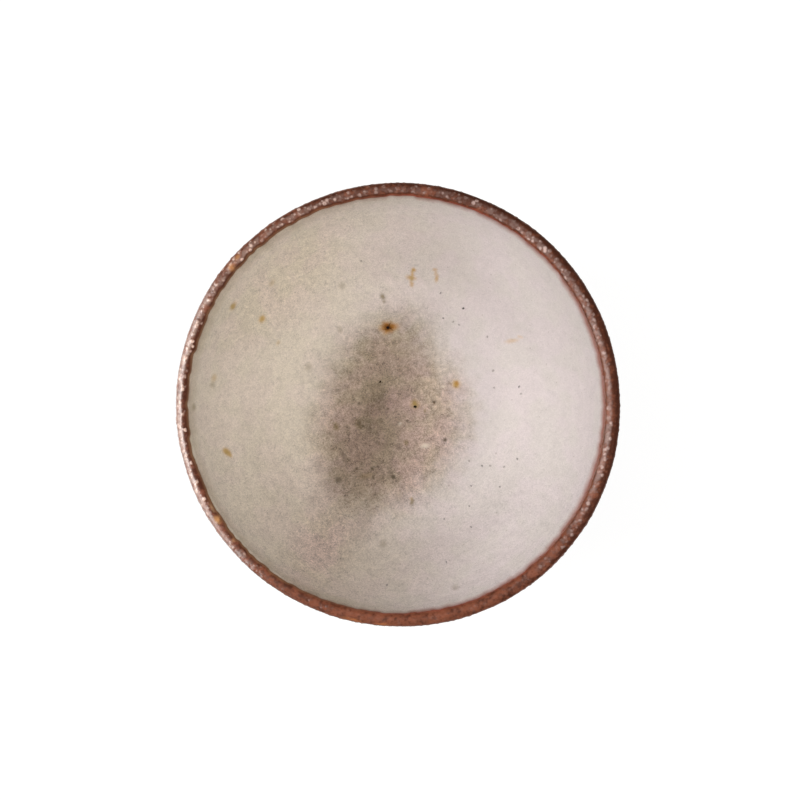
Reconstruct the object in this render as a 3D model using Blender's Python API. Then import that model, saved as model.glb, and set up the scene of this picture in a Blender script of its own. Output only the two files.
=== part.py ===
"""A small wheel-thrown stoneware tea cup without a handle.

The cup is what a potter puts together: a thrown clay body, a foot ring joined under its floor, and
three coats of glaze, one poured inside, one over the lip and one over the outside wall. Metres, +Z up.
The origin is the centre of the foot on the table.
"""
import math

import bmesh
import bpy

# Driving sizes
MOUTH_DIAMETER = 0.078  # across the glazed lip
CUP_HEIGHT = 0.060  # table to the crown of the glazed lip
LIP_CLAY = 0.0010  # clay at the lip, inside to outside
WALL_LEAN = math.radians(5)  # how far the wall leans out where it meets the lip
FLOOR_THICKNESS = 0.0050  # clay under the flat of the inside
FLOOR_RADIUS = 0.0125  # flat of the inside, where the wall starts to rise
FOOT_DIAMETER = 0.0370  # foot ring where it joins the body
FOOT_HEIGHT = 0.0068  # table to the joint with the body
FOOT_WIDTH = 0.0044  # foot ring, measured where it stands on the table
FOOT_TAPER = 0.0008  # how far each side of the ring draws in towards the table
FOOT_CHAMFER = 0.0005  # broken edges of the ring on the table
GLAZE_THICKNESS = 0.0004  # every coat
LIP_COAT_INSIDE = 0.0030  # lip coat below the crown, inside
LIP_COAT_OUTSIDE = 0.0060  # lip coat below the crown, outside
BARE_BAND = 0.0040  # unglazed clay between the foot joint and the outside coat

# Clearances between separate pieces
SEAT_GAP = 0.0003  # a coat or the foot ring to the clay that carries it
COAT_GAP = 0.0003  # the edge of one coat to the edge of the next

# Fineness of the turned shapes
TURN_STEPS = 48
WALL_STEPS = 10
LIP_STEPS = 2
CROWN_STEPS = 6
BARE_STEPS = 3
AXIS_MERGE = 0.000001
SHARP_EDGE = math.radians(40)

# Heights and radii that follow from the sizes above
COAT_DEPTH = SEAT_GAP + GLAZE_THICKNESS
UNDERSIDE_HEIGHT = FOOT_HEIGHT + SEAT_GAP
FLOOR_HEIGHT = UNDERSIDE_HEIGHT + FLOOR_THICKNESS
CROWN_RADIUS = LIP_CLAY / 2
CROWN_CENTRE = (MOUTH_DIAMETER / 2 - COAT_DEPTH - CROWN_RADIUS, CUP_HEIGHT - COAT_DEPTH - CROWN_RADIUS)
INNER_CROWN = (
    CROWN_CENTRE[0] - CROWN_RADIUS * math.cos(WALL_LEAN),
    CROWN_CENTRE[1] + CROWN_RADIUS * math.sin(WALL_LEAN),
)
OUTER_CROWN = (
    CROWN_CENTRE[0] + CROWN_RADIUS * math.cos(WALL_LEAN),
    CROWN_CENTRE[1] - CROWN_RADIUS * math.sin(WALL_LEAN),
)
FOOT_RADIUS = FOOT_DIAMETER / 2
LINER_EDGE = CUP_HEIGHT - LIP_COAT_INSIDE
LIP_COAT_EDGE = CUP_HEIGHT - LIP_COAT_OUTSIDE
GLAZE_LINE = UNDERSIDE_HEIGHT + BARE_BAND

# Finishes: colour, roughness
STONEWARE = ((0.42, 0.29, 0.20), 0.85)
FOOT_CLAY = ((0.37, 0.25, 0.17), 0.88)
PALE_GLAZE = ((0.62, 0.55, 0.48), 0.55)
IRON_GLAZE = ((0.16, 0.065, 0.04), 0.25)
BROWN_GLAZE = ((0.13, 0.06, 0.04), 0.35)


def bowl_wall(base, top, low, high, steps):
    """Points from height low to high of the ellipse that leaves base level and reaches top at the lean."""
    reach = top[0] - base[0]
    rise = top[1] - base[1]
    lean_share = math.tan(WALL_LEAN) * rise / reach
    end = math.acos(lean_share / (1 - lean_share))
    half_width = reach / math.sin(end)
    half_height = rise / (1 - math.cos(end))
    first = math.acos(1 - (low - base[1]) / half_height)
    last = math.acos(1 - (high - base[1]) / half_height)
    points = []
    for step in range(steps + 1):
        angle = first + (last - first) * step / steps
        height = base[1] + half_height * (1 - math.cos(angle))
        points.append((base[0] + half_width * math.sin(angle), height))
    return points


def inner_wall(low, high, steps):
    """The clay's inside wall between two heights, going up."""
    return bowl_wall((FLOOR_RADIUS, FLOOR_HEIGHT), INNER_CROWN, low, high, steps)


def outer_wall(low, high, steps):
    """The clay's outside wall between two heights, going down."""
    return bowl_wall((FOOT_RADIUS, UNDERSIDE_HEIGHT), OUTER_CROWN, low, high, steps)[::-1]


def crown():
    """The round top of the clay lip, from inside to outside, without its two ends."""
    points = []
    for step in range(1, CROWN_STEPS):
        angle = math.pi * (1 - step / CROWN_STEPS) - WALL_LEAN
        radius = CROWN_CENTRE[0] + CROWN_RADIUS * math.cos(angle)
        points.append((radius, CROWN_CENTRE[1] + CROWN_RADIUS * math.sin(angle)))
    return points


def inside_stretch(edge):
    """The clay's inside from the middle of the floor up to the height of edge."""
    return [(0.0, FLOOR_HEIGHT)] + inner_wall(FLOOR_HEIGHT, edge, WALL_STEPS)


def lip_stretch(outside_edge):
    """The clay from the liner's edge over the crown and down to the height of outside_edge."""
    rise = inner_wall(LINER_EDGE, INNER_CROWN[1], LIP_STEPS)
    fall = outer_wall(outside_edge, OUTER_CROWN[1], LIP_STEPS)
    return rise + crown() + fall


def outside_stretch(edge):
    """The clay's outside from the height of edge down to the glaze line."""
    return outer_wall(GLAZE_LINE, edge, WALL_STEPS)


def laid_off(points, distance):
    """The same line moved off the clay by distance, square to itself at every point."""
    moved = []
    for index, (radius, height) in enumerate(points):
        sides = []
        for start in (index - 1, index):
            if 0 <= start < len(points) - 1:
                run = points[start + 1][0] - points[start][0]
                climb = points[start + 1][1] - points[start][1]
                length = math.hypot(run, climb)
                sides.append((-climb / length, run / length))
        across = sum(side[0] for side in sides) / len(sides)
        up = sum(side[1] for side in sides) / len(sides)
        if radius == 0:
            across = 0.0
        scale = distance / (across * across + up * up)
        moved.append((radius + across * scale, height + up * scale))
    return moved


def plain_finish(name, colour, roughness):
    """A plain material of one colour and roughness."""
    material = bpy.data.materials.new(name)
    material.use_nodes = True
    surface = material.node_tree.nodes["Principled BSDF"]
    surface.inputs["Base Color"].default_value = (*colour, 1)
    surface.inputs["Roughness"].default_value = roughness
    surface.inputs["Metallic"].default_value = 0
    material.diffuse_color = (*colour, 1)
    return material


def turned(name, outline, finish, carrier):
    """One solid, its half section turned once about the upright axis.

    The outline goes once round the section, down its outer side. It is closed by itself unless it
    starts and ends on the axis.
    """
    mesh = bpy.data.meshes.new(name)
    section = bmesh.new()
    corners = [section.verts.new((radius, 0, height)) for radius, height in outline]
    edges = [section.edges.new(pair) for pair in zip(corners, corners[1:])]
    if outline[0][0] > 0:
        edges.append(section.edges.new((corners[-1], corners[0])))
    bmesh.ops.spin(
        section,
        geom=corners + edges,
        cent=(0, 0, 0),
        axis=(0, 0, 1),
        angle=2 * math.pi,
        steps=TURN_STEPS,
        use_merge=True,
    )
    bmesh.ops.remove_doubles(section, verts=section.verts, dist=AXIS_MERGE)
    bmesh.ops.recalc_face_normals(section, faces=section.faces)
    section.to_mesh(mesh)
    section.free()
    mesh.shade_smooth()
    mesh.set_sharp_from_angle(angle=SHARP_EDGE)
    mesh.materials.append(plain_finish(name, *finish))
    piece = bpy.data.objects.new(name, mesh)
    piece.parent = carrier
    bpy.context.scene.collection.objects.link(piece)
    return piece


def coat(name, stretch, finish, carrier):
    """A coat of glaze over one stretch of the clay's section."""
    outline = laid_off(stretch, COAT_DEPTH) + laid_off(stretch, SEAT_GAP)[::-1]
    return turned(name, outline, finish, carrier)


def clay_outline():
    """The clay body's whole section, from the inside floor over the lip to the flat underside."""
    outline = inside_stretch(LINER_EDGE)
    outline += lip_stretch(LIP_COAT_EDGE)[1:]
    outline += outside_stretch(LIP_COAT_EDGE)[1:]
    outline += outer_wall(UNDERSIDE_HEIGHT, GLAZE_LINE, BARE_STEPS)[1:]
    outline.append((0.0, UNDERSIDE_HEIGHT))
    return outline


def foot_outline():
    """The foot ring's section, from its joint with the body down to the table and back inside."""
    outer = FOOT_RADIUS - FOOT_TAPER
    inner = outer - FOOT_WIDTH
    chamfer_taper = FOOT_TAPER * FOOT_CHAMFER / FOOT_HEIGHT
    return [
        (FOOT_RADIUS, FOOT_HEIGHT),
        (outer + chamfer_taper, FOOT_CHAMFER),
        (outer - FOOT_CHAMFER, 0.0),
        (inner + FOOT_CHAMFER, 0.0),
        (inner - chamfer_taper, FOOT_CHAMFER),
        (inner - FOOT_TAPER, FOOT_HEIGHT),
    ]


def clear_scene():
    """Empties the scene."""
    for old in list(bpy.data.objects):
        bpy.data.objects.remove(old, do_unlink=True)


def main():
    """Builds the cup's five pieces under one carrier."""
    clear_scene()
    cup = bpy.data.objects.new("tea_cup", None)
    bpy.context.scene.collection.objects.link(cup)
    turned("clay_body", clay_outline(), STONEWARE, cup)
    turned("foot_ring", foot_outline(), FOOT_CLAY, cup)
    coat("liner_glaze", inside_stretch(LINER_EDGE - COAT_GAP), PALE_GLAZE, cup)
    coat("lip_glaze", lip_stretch(LIP_COAT_EDGE), IRON_GLAZE, cup)
    coat("outer_glaze", outside_stretch(LIP_COAT_EDGE - COAT_GAP), BROWN_GLAZE, cup)


main()
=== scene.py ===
"""Looks of a small wheel-thrown stoneware tea cup: three coats of glaze, bare clay and a turned foot."""

import itertools
import logging
import math
from dataclasses import dataclass, field
from enum import Enum
from functools import cached_property

import bpy
import numpy as np
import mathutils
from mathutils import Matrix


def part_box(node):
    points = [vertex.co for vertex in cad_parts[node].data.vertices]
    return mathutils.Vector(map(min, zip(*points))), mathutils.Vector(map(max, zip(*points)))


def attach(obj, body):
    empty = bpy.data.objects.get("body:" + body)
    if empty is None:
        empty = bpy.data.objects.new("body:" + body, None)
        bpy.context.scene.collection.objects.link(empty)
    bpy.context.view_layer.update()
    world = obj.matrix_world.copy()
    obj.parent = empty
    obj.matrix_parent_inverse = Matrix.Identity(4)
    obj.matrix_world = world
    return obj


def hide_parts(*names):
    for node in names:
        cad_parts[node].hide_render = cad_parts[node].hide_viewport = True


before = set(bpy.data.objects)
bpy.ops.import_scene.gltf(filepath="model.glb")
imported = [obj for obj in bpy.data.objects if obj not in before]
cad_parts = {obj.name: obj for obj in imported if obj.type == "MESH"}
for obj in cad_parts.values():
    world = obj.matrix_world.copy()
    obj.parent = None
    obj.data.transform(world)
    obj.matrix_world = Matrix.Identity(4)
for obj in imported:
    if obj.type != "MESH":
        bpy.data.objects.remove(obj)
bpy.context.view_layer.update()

LOG = logging.getLogger("tea_cup")
BAKE_MAP = "OFBake"
BODY = "root"
MM = 0.001
TURN = 2 * math.pi

# Sizes of the solids that their boxes don't show.
LIP_CLAY = 1.0 * MM
SEAT_GAP = 0.3 * MM

# How closely the clay's line is laid out.
FLOOR_STEPS = 300
WALL_STEPS = 1400
CROWN_STEPS = 240

# The photograph looks straight down the cup's axis.
PHOTO_WIDTH = 800
PHOTO_MIDDLE = (398.0, 404.5)
PHOTO_MOUTH = 222.0

# How far the rim strays from a true level circle: waves in a turn, millimetres, shift in degrees.
RIM_SWAY = ((0, 0.03, 0), (1, 0.12, 38), (2, 0.105, 82), (3, 0.087, 160), (7, 0.025, 115))
RIM_DIP = ((0, -0.15, 0), (2, 0.10, -51.566), (5, 0.05, 0))

# Margins of the bake map, and the shares of a strip for the rows in sight and for those behind.
MAP_MARGIN = 0.004
ROWS_SHOWN = (0.02, 0.90)
ROWS_BEHIND = (0.92, 0.98)
ROWS_END = 0.99

# How far a stain reaches up and down, the pixels past which the lip's edge no longer matters, and the
# back of the lip as a share of its radius.
STAIN_DEPTH = 4 * MM
EDGE_LIMIT = 20
FAR_BACK = (0.7, 0.98)

# How finely a frayed edge is broken.
FRAY_DETAIL = 2.0

# Large odd numbers that scatter a cell's place, the seed and their mixture.
CELL_STEPS = (73856093, 19349663, 83492791)
SEED_STEP = 2654435761
MIX_STEP = 1274126177

# A bead's least distance from its cell's edge and the square of its radius, in cells, and its least height.
BEAD_MARGIN = 0.1
BEAD_REACH = 0.35
BEAD_LOWEST = 0.25

Array = np.ndarray
Mesh = bpy.types.Mesh
Colour = tuple[float, float, float]
Vector = tuple[float, float, float]
Span = tuple[float, float]
Swell = tuple[int, float, float]
Waves = tuple[tuple[float, float, float], ...]


def fired(red: int, green: int, blue: int) -> Colour:
    """The linear colour of a tone that is written as it shows on a screen, 0 to 255."""
    shares = (part / 255 for part in (red, green, blue))
    return tuple(s / 12.92 if s < 0.04045 else ((s + 0.055) / 1.055) ** 2.4 for s in shares)


def eased(value: Array, low: float, high: float) -> Array:
    """A soft step from 0 at low to 1 at high."""
    share = np.clip((value - low) / (high - low), 0, 1)
    return share * share * (3 - 2 * share)


def waved(angle: Array, waves: Waves) -> Array:
    """The sum of waves round the axis, in metres."""
    return MM * sum(size * np.cos(count * angle + math.radians(shift)) for count, size, shift in waves)


def round_points(radius: Array | float, angle: Array, height: Array | float) -> Array:
    """Points at radii, turns about the axis and heights."""
    across = radius * np.cos(angle)
    return np.stack([across, radius * np.sin(angle), np.broadcast_to(height, across.shape)], axis=-1)


def turned_faces(rows: int, columns: int, bands: int) -> Array:
    """Four-cornered faces between neighbouring rows of points that go round the axis.

    Args:
        rows: how many rows of points there are.
        columns: how many points each row has.
        bands: how many bands of faces are made; the one after the last row ends at the first.

    Returns:
        Point numbers by band, column and corner.
    """
    band, column = np.meshgrid(np.arange(bands), np.arange(columns), indexing="ij")
    here = band * columns
    there = (band + 1) % rows * columns
    beside = (column + 1) % columns
    return np.stack([here + column, there + column, there + beside, here + beside], axis=-1)


def map_corners(start: Array, stop: Array, low: Array, high: Array) -> Array:
    """Corners of upright cells of the bake map, in the order of their faces' corners.

    Args:
        start: where the cells begin across the map.
        stop: where they end across it.
        low: where they begin up the map.
        high: where they end up it.

    Returns:
        Places in the map, four for each cell.
    """
    sides = ((start, low), (start, high), (stop, high), (stop, low))
    return np.stack([np.stack(np.broadcast_arrays(*side), axis=-1) for side in sides], axis=-2)


def plain_mesh(name: str, points: Array | list, faces: list) -> Mesh:
    """A mesh of points and faces."""
    mesh = bpy.data.meshes.new(name)
    mesh.from_pydata(points, [], faces)
    return mesh


def put(name: str, data: bpy.types.ID) -> bpy.types.Object:
    """A new object that stands in the scene."""
    made = bpy.data.objects.new(name, data)
    bpy.context.scene.collection.objects.link(made)
    return made


@dataclass(frozen=True)
class Unevenness:
    """Seeded unevenness of thrown clay and melted glaze, read at points in space."""

    seed: int

    def draw(self, cells: Array, channel: int) -> Array:
        """One fixed number for each cell.

        Args:
            cells: whole-numbered places, three in the last axis.
            channel: which of several independent numbers is wanted.

        Returns:
            Numbers between 0 and 1.
        """
        mixed = np.bitwise_xor.reduce(cells * CELL_STEPS, axis=-1)
        mixed = mixed ^ ((self.seed * 8 + channel + 1) * SEED_STEP)
        mixed = ((mixed ^ (mixed >> 13)) * MIX_STEP) & 0xFFFFFFFF
        return ((mixed ^ (mixed >> 16)) & 0xFFFFFF) / 0xFFFFFF

    def swell(self, points: Array, size: float) -> Array:
        """Smooth unevenness.

        Args:
            points: places in metres.
            size: width of a swell in metres.

        Returns:
            Heights between -1 and 1.
        """
        place = points / size
        cell = np.floor(place).astype(np.int64)
        share = place - cell
        share = share * share * share * (share * (share * 6 - 15) + 10)
        height = np.zeros(points.shape[:-1])
        for corner in itertools.product((0, 1), repeat=3):
            step = np.array(corner)
            weight = np.prod(np.where(step == 1, share, 1 - share), axis=-1)
            height += weight * self.draw(cell + step, 0)
        return 2 * height - 1

    def beads(self, points: Array, size: float) -> Array:
        """Round beads that stand close together, each of its own height.

        Args:
            points: places in metres.
            size: mean distance between beads in metres.

        Returns:
            Heights between 0 and 1.
        """
        place = points / size
        cell = np.floor(place).astype(np.int64)
        height = np.zeros(points.shape[:-1])
        for corner in itertools.product((-1, 0, 1), repeat=3):
            near = cell + np.array(corner)
            span = 1 - 2 * BEAD_MARGIN
            offset = [BEAD_MARGIN + span * self.draw(near, channel) for channel in range(3)]
            gap = near + np.stack(offset, axis=-1) - place
            dome = np.clip(1 - np.sum(gap * gap, axis=-1) / BEAD_REACH, 0, 1)
            tall = BEAD_LOWEST + (1 - BEAD_LOWEST) * self.draw(near, 3)
            height = np.maximum(height, dome * dome * tall)
        return height


def swells(points: Array, *rows: tuple[int, float, float]) -> Array:
    """The sum of smooth swells, each given by its seed, its height and its width in millimetres."""
    return sum(height * Unevenness(seed).swell(points, width * MM) for seed, height, width in rows)


@dataclass
class Section:
    """The cup's half section: the clay's line from the middle of the floor over the lip to the underside."""

    coat: float
    floor_height: float
    underside: float
    foot_radius: float
    crown_middle: tuple[float, float]
    crown_radius: float = LIP_CLAY / 2
    floor_radius: float = 12.5 * MM
    lean: float = math.radians(5)
    line: Array = field(init=False)
    normal: Array = field(init=False)
    reach: Array = field(init=False)
    crown_top: int = field(init=False)

    @classmethod
    def from_frame(cls) -> "Section":
        """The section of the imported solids."""
        clay_low, clay_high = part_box("clay_body")
        return cls(
            coat=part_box("lip_glaze")[1].z - clay_high.z,
            floor_height=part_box("liner_glaze")[0].z - SEAT_GAP,
            underside=clay_low.z,
            foot_radius=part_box("foot_ring")[1].x,
            crown_middle=(clay_high.x - LIP_CLAY / 2, clay_high.z - LIP_CLAY / 2),
        )

    def __post_init__(self) -> None:
        """Lays out the clay's line closely, with its outward normals and its length from the start."""
        tilt = np.array([-math.cos(self.lean), math.sin(self.lean)]) * self.crown_radius
        middle = np.array(self.crown_middle)
        turn = np.linspace(math.pi - self.lean, -self.lean, CROWN_STEPS)
        crown = middle + self.crown_radius * np.stack([np.cos(turn), np.sin(turn)], axis=-1)
        level = np.full(FLOOR_STEPS, self.floor_height)
        floor = np.stack([np.linspace(0, self.floor_radius, FLOOR_STEPS), level], axis=-1)
        inside = self.wall((self.floor_radius, self.floor_height), middle + tilt)
        outside = self.wall((self.foot_radius, self.underside), middle - tilt)[::-1]
        self.line = np.concatenate([floor[:-1], inside[:-1], crown[:-1], outside])
        step = np.gradient(self.line, axis=0)
        step /= np.linalg.norm(step, axis=1, keepdims=True)
        self.normal = np.stack([-step[:, 1], step[:, 0]], axis=-1)
        self.crown_top = int(np.argmax(self.line[:, 1]))
        lengths = np.linalg.norm(np.diff(self.glazed, axis=0), axis=1)
        self.reach = np.concatenate([[0.0], np.cumsum(lengths)])

    def wall(self, base: tuple[float, float], top: Array) -> Array:
        """The ellipse of a wall, going up.

        Args:
            base: radius and height at which it leaves the level.
            top: radius and height that it reaches at the lean.

        Returns:
            Radii and heights of its points.
        """
        across = top[0] - base[0]
        rise = top[1] - base[1]
        share = math.tan(self.lean) * rise / across
        end = math.acos(share / (1 - share))
        angle = np.linspace(0, end, WALL_STEPS)
        radius = base[0] + across * np.sin(angle) / math.sin(end)
        height = base[1] + rise * (1 - np.cos(angle)) / (1 - math.cos(end))
        return np.stack([radius, height], axis=-1)

    @property
    def glazed(self) -> Array:
        """The line of the glaze that lies on the clay."""
        return self.line + self.coat * self.normal

    @property
    def top(self) -> float:
        """Height of the glazed crown."""
        return self.crown_middle[1] + self.crown_radius + self.coat

    @property
    def mouth(self) -> float:
        """Outer radius of the glazed lip."""
        return self.crown_middle[0] + self.crown_radius + self.coat

    def at(self, reach: Array, lift: Array | float) -> tuple[Array, Array]:
        """A place on the glazed line.

        Args:
            reach: length along the glazed line from the middle of the floor.
            lift: height above the glazed line.

        Returns:
            Radius and height of the place.
        """
        off = self.coat + lift
        radius, height = (
            np.interp(reach, self.reach, self.line[:, axis])
            + off * np.interp(reach, self.reach, self.normal[:, axis])
            for axis in (0, 1)
        )
        return np.maximum(radius, 0), height

    def reach_of_height(self, height: float) -> float:
        """Length along the glazed line at which the outside wall comes down to a height."""
        heights = self.glazed[self.crown_top :, 1]
        order = np.argsort(heights)
        return float(np.interp(height, heights[order], self.reach[self.crown_top :][order]))

    def turned(self, reach: Array, angle: Array, lift: Array | float) -> Array:
        """Points of a turned surface, with the small sway that a thrown rim has.

        Args:
            reach: lengths along the glazed line.
            angle: turns about the axis, 0 at +X.
            lift: heights above the glazed line.

        Returns:
            Points in metres.
        """
        radius, height = self.at(reach, lift)
        share = height / self.top
        radius = radius * (1 + waved(angle, RIM_SWAY) / self.mouth * share**2)
        return round_points(radius, angle, height + waved(angle, RIM_DIP) * share**3)


@dataclass(frozen=True)
class PhotoView:
    """The straight-down view of the photograph, and where its pixels lie on the cup."""

    section: Section
    distance: float = 0.80
    sensor: float = 36.0

    @property
    def pixel(self) -> float:
        """Width of one pixel at the lip."""
        return self.section.mouth / PHOTO_MOUTH

    def seen(self, reach: Array) -> Array:
        """Distance in pixels from the photograph's middle at which places on the glazed line show."""
        radius, height = self.section.at(reach, 0.0)
        return radius * self.distance / (self.distance + self.section.top - height) / self.pixel

    def reach_seen(self, pixels: Array | float) -> Array:
        """Length along the glazed line, inside the crown, that shows at a distance from the middle."""
        steps = self.section.reach[: self.section.crown_top]
        return np.interp(pixels, self.seen(steps), steps)

    def place(self, across: float, down: float) -> tuple[float, float, float]:
        """The point inside the cup that shows at a pixel.

        Args:
            across: pixels from the photograph's left edge.
            down: pixels from its top edge.

        Returns:
            The point in metres.
        """
        right = across - PHOTO_MIDDLE[0]
        up = PHOTO_MIDDLE[1] - down
        reach = self.reach_seen(math.hypot(right, up))
        point = self.section.turned(np.array([reach]), np.array([math.atan2(up, right)]), 0.0)[0]
        return tuple(float(part) for part in point)

    def spread(self, across: float, down: float) -> float:
        """Metres on the glaze for one pixel seen across, near a place."""
        height = self.place(across, down)[2]
        return self.pixel * (self.distance + self.section.top - height) / self.distance

    def set_camera(self) -> None:
        """Makes the camera that sees the cup as the photograph does."""
        lens = bpy.data.cameras.new("view_camera")
        lens.sensor_width = self.sensor
        lens.lens = self.sensor * self.distance / (PHOTO_WIDTH * self.pixel)
        camera = put("view_camera", lens)
        aside = (PHOTO_WIDTH / 2 - PHOTO_MIDDLE[0]) * self.pixel
        ahead = (PHOTO_MIDDLE[1] - PHOTO_WIDTH / 2) * self.pixel
        camera.location = (aside, ahead, self.section.top + self.distance)
        bpy.context.scene.camera = camera


class Value:
    """A number, vector or colour that changes over a surface, and whose sums place nodes."""

    def __init__(self, wiring: "Wiring", socket: bpy.types.NodeSocket) -> None:
        """Keeps the socket that gives the value and the wiring that it lies in."""
        self.wiring = wiring
        self.socket = socket

    def __add__(self, other: "Source") -> "Value":
        """The sum of two values."""
        return self.wiring.math("ADD", self, other)

    def __mul__(self, other: "Source") -> "Value":
        """The product of two values."""
        return self.wiring.math("MULTIPLY", self, other)

    def __sub__(self, other: "Source") -> "Value":
        """The value less another."""
        return self.wiring.math("SUBTRACT", self, other)

    def __rsub__(self, other: float) -> "Value":
        """A number less the value."""
        return self.wiring.math("SUBTRACT", other, self)

    def __truediv__(self, other: "Source") -> "Value":
        """The value divided by another."""
        return self.wiring.math("DIVIDE", self, other)

    def __rtruediv__(self, other: float) -> "Value":
        """A number divided by the value."""
        return self.wiring.math("DIVIDE", other, self)

    def __abs__(self) -> "Value":
        """The value without its sign."""
        return self.wiring.math("ABSOLUTE", self)

    @property
    def about_zero(self) -> "Value":
        """A noise or a share less a half, so that it swings about 0."""
        return self - 0.5

    def ease(self, low: "Source", high: "Source") -> "Value":
        """A soft step from 0 at low to 1 at high."""
        fed = {"Value": self, "From Min": low, "From Max": high}
        return self.wiring.give("ShaderNodeMapRange", "Result", fed, interpolation_type="SMOOTHSTEP")

    def spread(self, low: float, high: float) -> "Value":
        """A share between 0 and 1 set between two values."""
        fed = {"Value": self, "To Min": low, "To Max": high}
        return self.wiring.give("ShaderNodeMapRange", "Result", fed)

    def between(self, first: "Source", second: "Source") -> "Value":
        """Two colours blended by this share of the second."""
        return self.wiring.mix(self, first, second, "MIX")

    def tinted(self, tint: "Source", share: "Source" = 1.0) -> "Value":
        """The colour multiplied by another, as far as a share goes."""
        return self.wiring.mix(share, self, tint, "MULTIPLY")

    def shaded(self, tone: "Value") -> "Value":
        """The colour made darker or lighter by a value."""
        return self.tinted(self.wiring.give("ShaderNodeCombineColor", fed={0: tone, 1: tone, 2: tone}))


Source = Value | float | tuple
Fed = dict[str | int, Source]
Values = dict[str, Value]


class Wiring:
    """Places and joins the nodes of one tree."""

    def __init__(self, tree: bpy.types.NodeTree) -> None:
        """Keeps the tree that is wired."""
        self.tree = tree

    def feed(self, socket: bpy.types.NodeSocket, source: Source) -> None:
        """Joins a socket to a value, or gives it one of its own.

        Args:
            socket: an input of a node.
            source: a value, or a number, vector or colour.
        """
        if isinstance(source, Value):
            self.tree.links.new(source.socket, socket)
        elif socket.type == "RGBA":
            socket.default_value = (*source, 1.0)
        else:
            socket.default_value = source

    def node(self, kind: str, fed: Fed | None = None, **settings: object) -> bpy.types.Node:
        """Places a node.

        Args:
            kind: the node's type.
            fed: what its inputs take, by name or number.
            settings: its options.

        Returns:
            The new node.
        """
        node = self.tree.nodes.new(kind)
        for name, value in settings.items():
            setattr(node, name, value)
        for name, source in (fed or {}).items():
            self.feed(node.inputs[name], source)
        return node

    def give(self, kind: str, output: str | int = 0, fed: Fed | None = None, **settings: object) -> Value:
        """Places a node for one of its outputs.

        Args:
            kind: the node's type.
            output: the output's name or number.
            fed: what its inputs take, by name or number.
            settings: its options.

        Returns:
            What the output gives.
        """
        return Value(self, self.node(kind, fed, **settings).outputs[output])

    def outputs(self, node: bpy.types.Node) -> Values:
        """Everything that a node gives, by name."""
        return {socket.name: Value(self, socket) for socket in node.outputs}

    def place(self, group: "SharedGroup", **fed: Source) -> Values:
        """Places a shared group, on the object's own places unless it is fed others, for its outputs."""
        if "Vector" not in fed:
            fed["Vector"] = self.here
        return self.outputs(self.node("ShaderNodeGroup", fed, node_tree=group.tree()))

    def math(self, operation: str, *operands: Source) -> Value:
        """The result of a sum on values."""
        return self.give("ShaderNodeMath", fed=dict(enumerate(operands)), operation=operation)

    def vector(self, operation: str, first: Source, second: Source = (0, 0, 0)) -> Value:
        """The result of a sum on vectors."""
        fed = {0: first, "Scale" if operation == "SCALE" else 1: second}
        output = "Value" if operation == "LENGTH" else "Vector"
        return self.give("ShaderNodeVectorMath", output, fed, operation=operation)

    def mix(self, share: Source, first: Source, second: Source, blend: str) -> Value:
        """Two colours blended by a share."""
        fed = {0: share, 6: first, 7: second}
        return self.give("ShaderNodeMix", 2, fed, data_type="RGBA", blend_type=blend)

    def noise(
        self, vector: Source, size: Source, detail: float = 1.0, bend: float = 0.0, output: str = "Fac"
    ) -> Value:
        """A noise over the surface.

        Args:
            vector: where it is read.
            size: width of its clouds, in the vector's unit.
            detail: how much finer noise is added.
            bend: how far the clouds are pulled into threads.
            output: "Fac" for a value, "Color" for three.

        Returns:
            The noise, about 0.5.
        """
        fed = {"Vector": vector, "Scale": 1 / size, "Detail": detail, "Distortion": bend}
        return self.give("ShaderNodeTexNoise", output, fed)

    def stored(self, name: str) -> Value:
        """A value that the mesh keeps at every point."""
        return self.give("ShaderNodeAttribute", "Fac", attribute_name=name)

    @cached_property
    def here(self) -> Value:
        """Places in the object's own metres."""
        return self.give("ShaderNodeTexCoord", "Object")

    def split(self, vector: Source) -> list[Value]:
        """The three parts of a vector or colour."""
        return list(self.outputs(self.node("ShaderNodeSeparateXYZ", {0: vector})).values())

    def from_axis(self, vector: Source) -> Value:
        """How far places lie from the upright axis."""
        return self.vector("LENGTH", self.vector("MULTIPLY", vector, (1, 1, 0)))

    def frayed(self, size: float, push: float) -> Value:
        """The object's places pushed about, which frays the edges of what is laid there.

        Args:
            size: width of the pushes in metres.
            push: their strength in metres.

        Returns:
            The pushed places.
        """
        cloud = self.noise(self.here, size, FRAY_DETAIL, output="Color")
        pushed = self.vector("SUBTRACT", cloud, (0.5, 0.5, 0.5))
        return self.vector("ADD", self.here, self.vector("SCALE", pushed, push))

    def either(self, mask: Value | None, other: Value) -> Value:
        """The stronger of two masks, the first of which may be missing."""
        return other if mask is None else self.math("MAXIMUM", mask, other)

    def bump(self, height: Value, depth: float) -> Value:
        """The normal of a surface with a fine relief of a depth in metres."""
        return self.give("ShaderNodeBump", "Normal", {"Distance": depth, "Height": height})


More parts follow.
